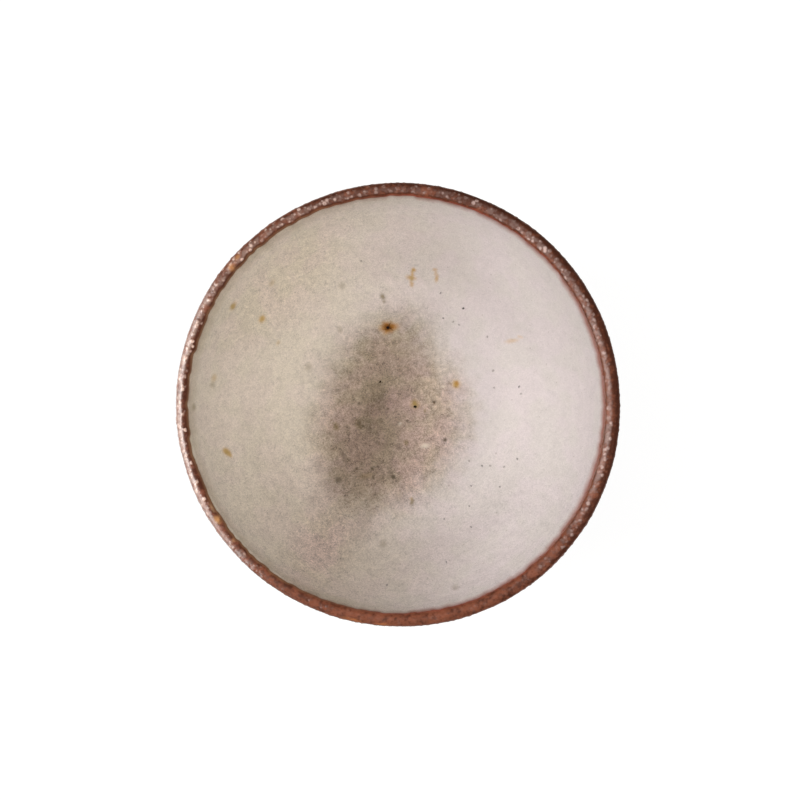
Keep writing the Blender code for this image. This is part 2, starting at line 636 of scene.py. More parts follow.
class SharedGroup:
    """A shader node group that is made once and placed in several finishes."""

    title = ""
    takes: dict[str, str] = {}
    gives: tuple[str, ...] = ()

    def tree(self) -> bpy.types.NodeTree:
        """The group's own tree, made the first time it is asked for."""
        if self.title in bpy.data.node_groups:
            return bpy.data.node_groups[self.title]
        tree = bpy.data.node_groups.new(self.title, "ShaderNodeTree")
        for name, kind in self.takes.items():
            tree.interface.new_socket(name, in_out="INPUT", socket_type=f"NodeSocket{kind}")
        for name in self.gives:
            tree.interface.new_socket(name, in_out="OUTPUT", socket_type="NodeSocketFloat")
        wiring = Wiring(tree)
        start = wiring.outputs(wiring.node("NodeGroupInput"))
        end = wiring.node("NodeGroupOutput").inputs
        for name, result in self.wire(wiring, start).items():
            wiring.feed(end[name], result)
        return tree

    def wire(self, wiring: Wiring, start: Values) -> Values:
        """Wires the group's nodes.

        Args:
            wiring: the group's wiring.
            start: what the group takes, by name.

        Returns:
            What the group gives, by name.
        """
        raise NotImplementedError


class Mottle(SharedGroup):
    """Cloudy tone of a melted glaze or a fired clay, fine and broad."""

    title = "mottle"
    takes = {"Vector": "Vector", "Size": "Float"}
    gives = ("Fine", "Broad")
    detail = 3.0
    broader = 7.0

    def wire(self, wiring: Wiring, start: Values) -> Values:
        """Two noises, the broad one several times the size of the fine one."""
        fine = wiring.noise(start["Vector"], start["Size"], self.detail)
        broad = wiring.noise(start["Vector"], start["Size"] * self.broader, self.detail)
        return {"Fine": fine, "Broad": broad}


class Specks(SharedGroup):
    """Small round specks of iron that bleed through, a few to each patch of cells."""

    title = "specks"
    takes = {"Vector": "Vector", "Spacing": "Float", "Share": "Float", "Radius": "Float"}
    gives = ("Mask",)
    smallest = 0.4
    size_range = 0.8
    core = 0.35

    def wire(self, wiring: Wiring, start: Values) -> Values:
        """Keeps a share of the cells and puts a speck of its own size into each."""
        fed = {"Vector": start["Vector"], "Scale": 1.0 / start["Spacing"]}
        cells = wiring.outputs(wiring.node("ShaderNodeTexVoronoi", fed))
        chance, size, _ = wiring.split(cells["Color"])
        kept = wiring.math("LESS_THAN", chance, start["Share"])
        edge = start["Radius"] / start["Spacing"] * (size * self.size_range + self.smallest)
        return {"Mask": cells["Distance"].ease(edge, edge * self.core) * kept}


class Grain(SharedGroup):
    """The fine tooth of a fired surface, with pinholes."""

    title = "grain"
    takes = {"Vector": "Vector", "Size": "Float", "Pits": "Float"}
    gives = ("Height",)
    detail = 4.0
    pit_spacing = 4.0
    pit_share = 0.3
    pit_radius = 0.9

    def wire(self, wiring: Wiring, start: Values) -> Values:
        """A noise with round pits sunk into it."""
        vector = start["Vector"]
        size = start["Size"]
        tooth = wiring.noise(vector, size, self.detail)
        fed = {"Spacing": size * self.pit_spacing, "Share": self.pit_share, "Radius": size * self.pit_radius}
        pits = wiring.place(Specks(), Vector=vector, **fed)
        return {"Height": tooth - pits["Mask"] * start["Pits"]}


class TurningLines(SharedGroup):
    """Fine lines that fingers and tools leave round the pot."""

    title = "turning_lines"
    takes = {"Vector": "Vector", "Run": "Float", "Spacing": "Float"}
    gives = ("Height",)
    detail = 3.0
    waver = 1.2 * MM
    waver_size = 1 / 90
    waver_detail = 2.0

    def wire(self, wiring: Wiring, start: Values) -> Values:
        """A noise along the run of the section, which hardly changes round the pot."""
        waver = wiring.noise(start["Vector"], self.waver_size, self.waver_detail) * self.waver
        run = start["Run"] + waver
        fed = {"W": run / start["Spacing"], "Scale": 1.0, "Detail": self.detail}
        return {"Height": wiring.give("ShaderNodeTexNoise", "Fac", fed, noise_dimensions="1D")}


class PlacedStain(SharedGroup):
    """One soft stain at a given place."""

    title = "placed_stain"
    takes = {
        "Vector": "Vector",
        "Centre": "Vector",
        "Spread": "Vector",
        "Tilt": "Float",
        "Core": "Float",
        "Strength": "Float",
    }
    gives = ("Mask",)

    def wire(self, wiring: Wiring, start: Values) -> Values:
        """Fades from the centre to the edge of a tilted ellipse."""
        fed = {"Vector": wiring.vector("SUBTRACT", start["Vector"], start["Centre"])}
        fed["Angle"] = start["Tilt"] * -1.0
        turned = wiring.give("ShaderNodeVectorRotate", "Vector", fed, rotation_type="Z_AXIS")
        far = wiring.vector("LENGTH", wiring.vector("DIVIDE", turned, start["Spread"]))
        return {"Mask": far.ease(1.0, start["Core"]) * start["Strength"]}


class Tint(Enum):
    """Colours of the stains that iron leaves in the pale glaze."""

    CREAM = fired(228, 220, 204)
    HONEY = fired(206, 170, 112)
    OLIVE = fired(121, 106, 56)
    OCHRE = fired(184, 154, 92)
    AMBER = fired(172, 112, 36)
    RUST = fired(112, 66, 26)
    GREY = fired(92, 82, 70)
    BLACK = fired(26, 20, 16)


@dataclass(frozen=True)
class Stain:
    """One stain, placed and measured in pixels of the photograph, its tilt in degrees."""

    tint: Tint
    across: float
    down: float
    wide: float
    tall: float
    strength: float = 1.0
    tilt: float = 0.0
    core: float = 0.1


STAR_SPOT = (
    Stain(Tint.OCHRE, 388.5, 327.5, 30, 17, 0.6, 6),
    Stain(Tint.OCHRE, 387.5, 328, 24, 15, 0.6, 62),
    Stain(Tint.AMBER, 389, 327.5, 26, 12, 0.9, 8),
    Stain(Tint.AMBER, 387.5, 327, 20, 11, 0.9, -48),
    Stain(Tint.AMBER, 388, 328, 18, 11, 0.9, 55),
    Stain(Tint.RUST, 388, 327.5, 16, 12, 0.9),
    Stain(Tint.BLACK, 388.8, 326, 13, 1.7, 0.8, 66),
    Stain(Tint.BLACK, 389.2, 328.3, 13, 1.7, 0.8, -32),
    Stain(Tint.BLACK, 387.5, 328.8, 12, 1.7, 0.75, 18),
    Stain(Tint.BLACK, 388, 328, 5, 4.4, 1.0, 0, 0.4),
)
STREAKS = (
    Stain(Tint.HONEY, 413.5, 270, 8, 7, 0.9),
    Stain(Tint.HONEY, 411, 278, 16, 8, 0.8, -12),
    Stain(Tint.HONEY, 411.5, 284, 7, 11, 0.7, 10),
    Stain(Tint.HONEY, 412.2, 275, 6, 16, 0.8, 4),
    Stain(Tint.OCHRE, 413, 271, 5, 5, 0.6),
    Stain(Tint.OCHRE, 411.5, 279, 6, 8, 0.5),
    Stain(Tint.HONEY, 435, 270, 9, 5, 0.6, 5),
    Stain(Tint.HONEY, 436.5, 278, 6, 15, 0.75, -6),
    Stain(Tint.HONEY, 435.5, 273, 5, 11, 0.5),
    Stain(Tint.HONEY, 512, 341, 24, 7, 0.45, 10),
    Stain(Tint.HONEY, 520, 337, 9, 5, 0.35, -20),
)
SMALL_SPOTS = (
    Stain(Tint.OLIVE, 382.5, 297, 8, 11, 0.7, 25),
    Stain(Tint.OLIVE, 384, 302, 6, 6, 0.5),
    Stain(Tint.HONEY, 456, 384.5, 15, 14, 0.6),
    Stain(Tint.OCHRE, 456, 384.5, 10, 11, 0.9),
    Stain(Tint.AMBER, 456.5, 383.5, 6, 6, 0.5),
    Stain(Tint.RUST, 455.5, 387, 4, 4, 0.4),
    Stain(Tint.OCHRE, 415, 405, 15, 14, 0.55),
    Stain(Tint.OLIVE, 414.5, 403.5, 8, 12, 0.8, 20),
    Stain(Tint.BLACK, 415, 407, 4.5, 4.0, 1.0, 0, 0.4),
    Stain(Tint.OLIVE, 425, 411, 5, 7, 0.5, -20),
    Stain(Tint.BLACK, 380, 382, 4.6, 2.6, 1.0, 45, 0.5),
    Stain(Tint.OLIVE, 412, 502, 7, 12, 0.65, -15),
    Stain(Tint.OCHRE, 411, 499, 6, 6, 0.4),
    Stain(Tint.OLIVE, 406, 443, 8, 10, 0.5),
    Stain(Tint.OLIVE, 336, 427, 10, 14, 0.5, 12),
    Stain(Tint.RUST, 434, 403, 4, 4, 0.6),
    Stain(Tint.OLIVE, 340, 330, 9, 12, 0.35, 30),
    Stain(Tint.CREAM, 425, 446, 15, 8, 0.75, 10),
    Stain(Tint.CREAM, 443, 387, 7, 4, 0.6, 10),
    Stain(Tint.CREAM, 400, 424, 6, 5, 0.4),
)
OCHRE_SPOTS = (
    Stain(Tint.OCHRE, 233, 306, 9, 15, 0.8, -35),
    Stain(Tint.OLIVE, 232.5, 307, 6, 8, 0.6, -35),
    Stain(Tint.OCHRE, 262, 319, 8, 10, 0.9, -30),
    Stain(Tint.HONEY, 262, 319, 12, 14, 0.5, -30),
    Stain(Tint.OLIVE, 261, 322, 4, 5, 0.3),
    Stain(Tint.OCHRE, 278, 343, 6, 9, 0.4, -30),
    Stain(Tint.OCHRE, 214, 378, 9, 13, 0.5, -25),
    Stain(Tint.OLIVE, 212.5, 385, 8, 10, 0.4),
    Stain(Tint.HONEY, 227, 452, 17, 12, 0.6, -25),
    Stain(Tint.OCHRE, 226, 451, 13, 9, 0.85, -10),
    Stain(Tint.OCHRE, 229, 454, 15, 7, 0.85, -48),
    Stain(Tint.OLIVE, 227, 452.5, 6, 6, 0.6),
    Stain(Tint.OLIVE, 194, 407, 8, 12, 0.5),
    Stain(Tint.OCHRE, 272, 283, 7, 12, 0.35, -40),
)
FLOOR_SMUDGES = (
    Stain(Tint.GREY, 359, 423, 7, 12, 0.75, 10),
    Stain(Tint.OLIVE, 358, 424, 12, 18, 0.3, 10),
    Stain(Tint.GREY, 343, 455, 8, 14, 0.6, 20),
    Stain(Tint.GREY, 338, 480, 11, 10, 0.65),
    Stain(Tint.OLIVE, 366, 476, 22, 10, 0.35, 10),
    Stain(Tint.GREY, 373, 478, 6, 7, 0.7),
    Stain(Tint.GREY, 393, 477, 6.5, 6.5, 0.9, 0, 0.3),
    Stain(Tint.GREY, 445, 440, 5.5, 6, 0.9, 30),
    Stain(Tint.GREY, 335, 491, 7, 8, 0.35),
    Stain(Tint.GREY, 320, 464, 6, 7, 0.3),
    Stain(Tint.GREY, 398, 448, 8, 8, 0.5),
)
OLIVE_SMUDGES = ((308, 367), (342, 286), (383, 544), (455, 587))
DARK_SPECKS = ((463, 308.5),)
BLACK_SPECKS = (
    (440.5, 293), (443, 318.5), (519, 387), (482, 466), (517, 459), (471, 486), (500, 487), (469, 506),
    (444, 519), (471, 527), (446, 562), (387, 585),
)
FAINT_SPECKS = (
    (361, 261), (521, 394), (490, 466), (453, 322), (459, 325), (487, 337), (493, 371), (494, 388),
    (469, 461), (504, 467), (377, 507),
)
FLOOR_SPECKS = (
    (358.5, 403.5), (356.5, 469), (372, 469), (388, 409), (407, 421), (434, 402.5),
)


def all_stains() -> list[Stain]:
    """Every stain that the photograph shows."""
    stains = [*STAR_SPOT, *STREAKS, *SMALL_SPOTS, *OCHRE_SPOTS, *FLOOR_SMUDGES]
    stains += [Stain(Tint.OLIVE, across, down, 12, 12, 0.3) for across, down in OLIVE_SMUDGES]
    stains += [Stain(Tint.GREY, across, down, 4.5, 4.5, 0.8) for across, down in FLOOR_SPECKS]
    stains += [Stain(Tint.BLACK, across, down, 3.6, 3.6, 0.95, 0, 0.3) for across, down in DARK_SPECKS]
    stains += [Stain(Tint.BLACK, across, down, 3.0, 3.0, 0.65, 0, 0.2) for across, down in BLACK_SPECKS]
    stains += [Stain(Tint.GREY, across, down, 3.4, 3.0, 0.55) for across, down in FAINT_SPECKS]
    return stains


@dataclass(frozen=True)
class ThinAndShadedPatch:
    """A stretch of the floor where the glaze ran thin, darker or lighter partly as painted shade and painted
    light, placed and measured in pixels of the photograph.
    """

    across: float
    down: float
    long: float
    short: float
    tilt: float
    tone: Colour
    strength: float = 1.0
    inside: float = 0.15
    outside: float = 1.65


# Darker and lighter patches: partly thin glaze, partly painted shade and painted light.
THIN_AND_SHADED_PATCHES = (
    ThinAndShadedPatch(390, 426, 87, 75, 54, fired(182, 166, 154), 1.0, 0.6, 1.25),
    ThinAndShadedPatch(371, 435, 88, 35, 72, fired(144, 130, 116)),
    ThinAndShadedPatch(382, 357, 52, 34, 40, fired(158, 145, 130)),
    ThinAndShadedPatch(322, 545, 44, 28, 60, fired(202, 187, 177), 0.6),
    ThinAndShadedPatch(278, 285, 84, 30, 45, fired(196, 184, 164), 0.3),
    ThinAndShadedPatch(397, 406, 20, 18, 0, fired(174, 146, 150), 0.25),
    ThinAndShadedPatch(376, 401, 30, 12, 80, fired(122, 108, 94), 0.65),
)


@dataclass(frozen=True)
class LipBlotch:
    """A blotch or a painted glint on the lip: its turn in degrees, then pixels out from the middle, along
    and across.
    """

    turn: float
    out: float
    along: float
    across: float
    tone: Colour
    strength: float = 0.8


LIP_BLOTCHES_AND_GLINTS = (
    LipBlotch(212.5, 214, 13, 11, fired(196, 142, 90), 0.85),
    LipBlotch(209, 212, 14, 7, fired(196, 160, 120), 0.6),
    LipBlotch(140.5, 216, 12, 12, fired(190, 130, 78), 0.75),
    LipBlotch(137.5, 218, 9, 7, fired(196, 140, 84), 0.6),
    LipBlotch(219.5, 213, 7, 7, fired(190, 140, 100), 0.5),
    # Painted highlight: an orange glint along the outer edge at the front.
    LipBlotch(258, 220.5, 34, 6, fired(186, 116, 70), 0.7),
    LipBlotch(266, 221, 26, 5, fired(186, 116, 70), 0.7),
)


@dataclass(frozen=True)
class Scatter:
    """Specks strewn over a surface: their spacing, the share of them that shows, radius and strength."""

    spacing: float
    share: float
    radius: float
    strength: float

    def mask(self, wiring: Wiring) -> Value:
        """How strongly the specks show."""
        fed = {"Spacing": self.spacing, "Share": self.share, "Radius": self.radius}
        return wiring.place(Specks(), **fed)["Mask"] * self.strength


@dataclass(frozen=True)
class Threads:
    """Bent threads in a glaze: their size, how far they bend, half their width and their strength."""

    size: float
    bend: float
    width: float
    strength: float

    def mask(self, wiring: Wiring, vector: Value) -> Value:
        """1 along the threads, 0 beside them."""
        return abs(wiring.noise(vector, self.size, bend=self.bend).about_zero).ease(self.width, 0.0)


@dataclass(frozen=True)
class Finish:
    """What every finish has in common."""

    name: str = ""

    def material(self) -> bpy.types.Material:
        """The finished material."""
        material = bpy.data.materials.new(self.name)
        material.use_nodes = True
        wiring = Wiring(material.node_tree)
        shader = material.node_tree.nodes["Principled BSDF"]
        for name, source in self.surface(wiring).items():
            wiring.feed(shader.inputs[name], source)
        return material

    def surface(self, wiring: Wiring) -> Fed:
        """Wires the surface.

        Args:
            wiring: the material's wiring.

        Returns:
            What the shader's sockets take, by name.
        """
        raise NotImplementedError


@dataclass(frozen=True)
class FiredFinish(Finish):
    """What the cup's fired surfaces have in common: gloss, clouds and a fine relief with pits."""

    specular: float = 0.5
    roughness: Span = (0.5, 0.5)
    cloud: float = 0.5 * MM
    grain: float = 0.3 * MM
    pits: float = 0.5
    relief: float = 0.03 * MM
    line_relief: float = 0.0

    def sockets(self, colour: Value, cloud: Value, lines: Value | None = None) -> Fed:
        """What the shader of a fired surface takes.

        Args:
            colour: the finished colour.
            cloud: a cloud that makes the gloss uneven.
            lines: turning lines that the fine relief has, if any.

        Returns:
            What the sockets take, by name.
        """
        height = colour.wiring.place(Grain(), Size=self.grain, Pits=self.pits)["Height"]
        if lines is not None:
            height = lines * self.line_relief + height
        return {
            "Base Color": colour,
            "Roughness": cloud.spread(*self.roughness),
            "Specular IOR Level": self.specular,
            "Normal": colour.wiring.bump(height, self.relief),
        }


@dataclass(frozen=True)
class PaleMottle:
    """The pale glaze's mottle, coarser where it is thin. Changes of side are in metres from the axis."""

    swing: float = 0.24
    left_swing: float = 0.26
    left_change: Span = (0.016, -0.010)
    front_swing: float = 0.19
    front_change: Span = (0.0, -0.020)
    thin_swing: float = 0.78
    cloud_middle: float = 0.555
    cloud_share: float = 0.74
    threads: Threads = Threads(0.70 * MM, 1.5, 0.09, 0.30)
    hairs: Threads = Threads(0.8 * MM, 2.2, 0.065, 0.36)
    hair_shift: Vector = (0.3, 0.1, 0.2)
    hair_patch: float = 1.1 * MM
    hair_change: Span = (0.46, 0.62)
    soft_tone: Span = (0.95, 1.05)
    broad_share: float = 0.35
    clot: float = 1.0 * MM
    clot_detail: float = 4.0
    tint_patch: float = 5 * MM
    tint_detail: float = 2.0
    tint_change: Span = (0.38, 0.62)
    tint_share: float = 0.4
    thin_tint: float = 0.6
    greenish: Colour = (0.985, 0.99, 0.92)
    pinkish: Colour = (1.04, 0.985, 1.0)

    def laid(self, vector: Value, colour: Value, clouds: tuple[Values, Values], thin: Value) -> Value:
        """The colour with its mottle.

        Args:
            vector: the object's coordinates, drawn out up the wall.
            colour: the colour so far.
            clouds: the fine mottle and the broad one.
            thin: how thin the glaze is, 0 to 1.

        Returns:
            The mottled colour.
        """
        wiring = colour.wiring
        cloud, soft = clouds
        aside, back, _ = wiring.split(vector)
        swing = aside.ease(*self.left_change) * self.left_swing
        swing = swing + back.ease(*self.front_change) * self.front_swing
        swing = swing + self.swing + thin * self.thin_swing
        tone = (cloud["Fine"] - self.cloud_middle) * (swing * self.cloud_share) + 1.0
        tone = tone + self.threads.mask(wiring, vector) * swing * self.threads.strength
        hairs = self.hairs.mask(wiring, wiring.vector("ADD", vector, self.hair_shift))
        patches = wiring.noise(vector, self.hair_patch).ease(*self.hair_change)
        tone = tone - hairs * patches * swing * self.hairs.strength
        tone = tone * soft["Fine"].spread(*self.soft_tone)
        clots = wiring.noise(vector, self.clot, self.clot_detail).about_zero * thin
        clots = cloud["Broad"].about_zero * swing * self.broad_share + clots
        hue = wiring.noise(vector, self.tint_patch, self.tint_detail).ease(*self.tint_change)
        tint = hue.between(self.greenish, self.pinkish)
        return colour.tinted(tint, thin * self.thin_tint + self.tint_share).shaded(clots + tone)


@dataclass(frozen=True)
class PaleGlaze(FiredFinish):
    """The pale matte glaze inside: cloudy, freckled, thin and dark over the floor, with iron stains. Painted
    shade and painted light lie in its floor patches, its side tones, its ring bands and its lighter back and
    front.

    Changes of side are in metres from the axis, and what the lip brings on reaches down in pixels.
    """

    name: str = "pale_glaze"
    specular: float = 0.1
    roughness: Span = (0.52, 0.72)
    cloud: float = 0.30 * MM
    grain: float = 0.22 * MM
    relief: float = 0.02 * MM
    view: PhotoView | None = None
    # The two sides' tones: a real change of hue, with painted light in their lightness.
    left: Colour = fired(213, 205, 193)
    right: Colour = fired(213, 207, 207)
    freckle: Colour = fired(118, 98, 78)
    flash_left: Colour = fired(150, 124, 98)
    flash_right: Colour = fired(150, 84, 66)
    # Greyish tinge by the lip on the left: partly the glaze's tint, partly painted shade.
    tinge: Colour = fired(164, 148, 118)
    # Bands out from the axis: throwing rings, with painted shade and painted light in them.
    ring_tones_and_shade: tuple[Span, ...] = ((0.0, 0.98), (0.42, 1.0), (0.54, 1.05), (0.70, 0.965), (0.92, 0.99))
    drawn_out: Vector = (1, 1, 0.4)
    soft_cloud: float = 2.4 * MM
    side_change: Span = (-0.022, 0.020)
    side_blur: float = 0.016
    # Painted light: the wall is made lighter towards the back and the front.
    back_change: Span = (0.012, 0.030)
    back_painted_light: Span = (1.0, 1.15)
    front_change: Span = (-0.014, -0.034)
    front_painted_light: float = 0.08
    patch_fray: float = 0.35
    mottle: PaleMottle = PaleMottle()
    sparse: Scatter = Scatter(1.5 * MM, 0.35, 0.22 * MM, 0.35)
    dense: Scatter = Scatter(0.9 * MM, 0.5, 0.24 * MM, 0.35)
    stain_fray: Span = (0.4 * MM, 0.5 * MM)
    edge_change: Span = (0.012, -0.022)
    edge_fray: float = 2.0
    tinge_reach: Span = (11.0, 3.0)
    tinge_share: float = 0.35
    flash_reach: Span = (4.6, 4.0)
    flash_end: float = -0.8
    flash_share: Span = (1.0, 0.7)

    def surface(self, wiring: Wiring) -> Fed:
        """What the shader's sockets take."""
        drawn = wiring.vector("MULTIPLY", wiring.here, self.drawn_out)
        cloud = wiring.place(Mottle(), Vector=drawn, Size=self.cloud)
        soft = wiring.place(Mottle(), Vector=drawn, Size=self.soft_cloud)
        colour = self.ground(wiring, soft["Broad"])
        colour, thin = self.thinned(wiring, colour, soft["Fine"])
        colour = self.mottle.laid(drawn, colour, (cloud, soft), thin)
        colour = self.sparse.mask(wiring).between(colour, self.freckle)
        colour = (self.dense.mask(wiring) * thin).between(colour, self.freckle)
        colour = self.stained(wiring, colour)
        return self.sockets(self.edged(wiring, colour, soft["Fine"]), cloud["Broad"])

    def ground(self, wiring: Wiring, cloud: Value) -> Value:
        """The ground colour, warmer on one side and banded by the throwing rings. It has painted light in
        its side tones, painted shade and light in its bands, and painted light towards the back and the
        front.

        Args:
            wiring: the material's wiring.
            cloud: a broad cloud that blurs the change from side to side.

        Returns:
            The ground colour.
        """
        aside, back, _ = wiring.split(wiring.here)
        side = (aside + cloud.about_zero * self.side_blur).ease(*self.side_change)
        wall = side.between(self.left, self.right)
        share = wiring.from_axis(wiring.here) / self.view.section.mouth
        ramp = wiring.node("ShaderNodeValToRGB", {"Fac": share})
        ramp.color_ramp.interpolation = "EASE"
        stops = ramp.color_ramp.elements
        while len(stops) < len(self.ring_tones_and_shade):
            stops.new(1.0)
        for stop, (place, tone) in zip(stops, self.ring_tones_and_shade):
            stop.position = place
            stop.color = (tone, tone, tone, 1)
        wall = wall.tinted(wiring.outputs(ramp)["Color"])
        # Painted light: lighter towards the back and the front.
        light = back.ease(*self.back_change).spread(*self.back_painted_light)
        return wall.shaded(light + back.ease(*self.front_change) * self.front_painted_light)

    def thinned(self, wiring: Wiring, colour: Value, cloud: Value) -> tuple[Value, Value]:
        """The colour with the floor's thin patches, which are partly painted shade.

        Args:
            wiring: the material's wiring.
            colour: the ground colour.
            cloud: a cloud that frays the patches' edges.

        Returns:
            The colour, and how thin the glaze is (the painted shade counted in), 0 to 1.
        """
        thin = None
        fray = cloud.about_zero * self.patch_fray
        for patch in THIN_AND_SHADED_PATCHES:
            middle = self.view.place(patch.across, patch.down)
            metre = self.view.spread(patch.across, patch.down)
            fed = {
                "Vector": wiring.here,
                "Location": (middle[0], middle[1], 0),
                "Rotation": (0, 0, math.radians(patch.tilt)),
                "Scale": (patch.long * metre, patch.short * metre, 1),
            }
            laid = wiring.give("ShaderNodeMapping", "Vector", fed, vector_type="TEXTURE")
            far = wiring.from_axis(laid) + fray
            mask = far.ease(patch.outside, patch.inside) * patch.strength
            colour = mask.between(colour, patch.tone)
            thin = wiring.either(thin, mask)
        return colour, thin

    def stained(self, wiring: Wiring, colour: Value) -> Value:
        """The colour with every placed stain, their edges ragged.

        Args:
            wiring: the material's wiring.
            colour: the colour so far.

        Returns:
            The stained colour.
        """
        frayed = wiring.frayed(*self.stain_fray)
        for tint in Tint:
            mask = None
            for stain in (one for one in all_stains() if one.tint is tint):
                metre = self.view.spread(stain.across, stain.down) / 2
                spot = wiring.place(
                    PlacedStain(),
                    Vector=frayed,
                    Centre=self.view.place(stain.across, stain.down),
                    Spread=(stain.wide * metre, stain.tall * metre, STAIN_DEPTH),
                    Tilt=math.radians(stain.tilt),
                    Core=stain.core,
                    Strength=stain.strength,
                )
                mask = wiring.either(mask, spot["Mask"])
            colour = mask.between(colour, tint.value)
        return colour

    def edged(self, wiring: Wiring, colour: Value, cloud: Value) -> Value:
        """The colour with a greyish tinge by the lip on the left, partly the glaze's tint and partly painted
        shade under the rim, and the red flash that it takes on by the iron glaze.

        Args:
            wiring: the material's wiring.
            colour: the colour so far.
            cloud: a cloud that frays the flash.

        Returns:
            The edged colour.
        """
        below = wiring.stored("below_edge") + cloud.about_zero * self.edge_fray
        leftward = wiring.split(wiring.here)[0].ease(*self.edge_change)
        # Painted shade under the rim on the left, with the glaze's greyish tint.
        tinged_and_shaded = below.ease(*self.tinge_reach) * leftward * self.tinge_share
        flash = leftward.between(self.flash_right, self.flash_left)
        reach = leftward.spread(*self.flash_reach)
        share = below.ease(reach, self.flash_end) * leftward.spread(*self.flash_share)
        return share.between(tinged_and_shaded.between(colour, self.tinge), flash)


@dataclass(frozen=True)
class LipDepthAndShade:
    """How dark the iron glaze is made: thicker at the back and at the sides, and darker outside on the right
    and inside on the left, where the lip faces away from the key lamp, which is painted shade.
    """

    rest: float = 0.45
    back: float = 0.12
    far_back: float = 0.15
    sides: float = 0.30
    lean: float = 0.95
    thinned: float = 0.5
    thinned_from: Span = (0.74, 0.98)

    def share(self, aside: Value, back: Value, outward: Value) -> Value:
        """The thickness with the painted shade, about 0 to 1.

        Args:
            aside: -1 to 1 from one side of the cup to the other.
            back: -1 to 1 from its front to its back.
            outward: 0 inside the lip, 1 outside.

        Returns:
            The thickness with the painted shade.
        """
        depth = back * self.back + self.rest + back.ease(*FAR_BACK) * self.far_back + abs(aside) * self.sides
        # Painted shade: darker on the half of the lip that faces away from the key lamp.
        depth = depth + outward.about_zero * aside * self.lean
        return depth - outward.ease(*self.thinned_from) * self.thinned


@dataclass(frozen=True)
class LipPaintedHighlights:
    """Painted highlights: a paler colour over the lip's beads, in dots and in a band along the crest of the
    lip, strongest at the sides and the back.
    """

    crest: float = 0.5
    crest_sides: float = 0.27
    crest_back: float = 0.17
    bead_spread: float = 0.12
    amount: float = 0.90
    amount_right: float = 0.16
    amount_least: float = 0.06
    amount_back: float = 0.35
    amount_change: Span = (0.1, 0.95)
    ground_reach: Span = (0.27, 0.08)
    ground_sides: Span = (0.75, 1.0)
    ground_share: Span = (0.16, 0.30)
    ground_patch: Span = (0.35, 0.65)
    ground_tone: Span = (0.3, 1.7)
    dots_left: Span = (0.2, -0.6)
    dots_reach: Span = (0.27, 0.50)
    dots_core: float = 0.35
    dot_rise: Span = (0.08, 0.44)
    dot_top: Span = (0.5, 0.85)
    dot_hollow: float = 0.55
    dot_patch: Span = (0.40, 0.60)
    dot_tone: Span = (0.30, 1.15)

    def share(self, wiring: Wiring, aside: Value, back: Value, outward: Value, patch: Value) -> Value:
        """The share of the painted highlights' paler colour.

        Args:
            wiring: the material's wiring.
            aside: -1 to 1 from one side of the cup to the other.
            back: -1 to 1 from its front to its back.
            outward: 0 inside the lip, 1 outside.
            patch: a cloud that makes the ground between the beads uneven.

        Returns:
            The share.
        """
        beads = wiring.stored("bead_height")
        sides = abs(aside)
        leftward = wiring.math("MINIMUM", aside, 0.0)
        crest = self.crest - aside * sides * self.crest_sides + back * leftward * self.crest_back
        away = abs(outward - crest) - beads * self.bead_spread
        amount = self.amount - aside * self.amount_right
        amount = amount * (sides + back * self.amount_back).ease(*self.amount_change) + self.amount_least
        ground = sides.ease(*self.ground_sides).spread(*self.ground_share)
        ground = ground * patch.ease(*self.ground_patch).spread(*self.ground_tone)
        ground = ground * away.ease(*self.ground_reach)
        reach = aside.ease(*self.dots_left).spread(*self.dots_reach)
        dots = beads.ease(*self.dot_rise) - beads.ease(*self.dot_top) * self.dot_hollow
        dots = dots * patch.ease(*self.dot_patch).spread(*self.dot_tone)
        dots = dots * away.ease(reach, reach * self.dots_core)
        return amount * (dots * (1.0 - ground) + ground)


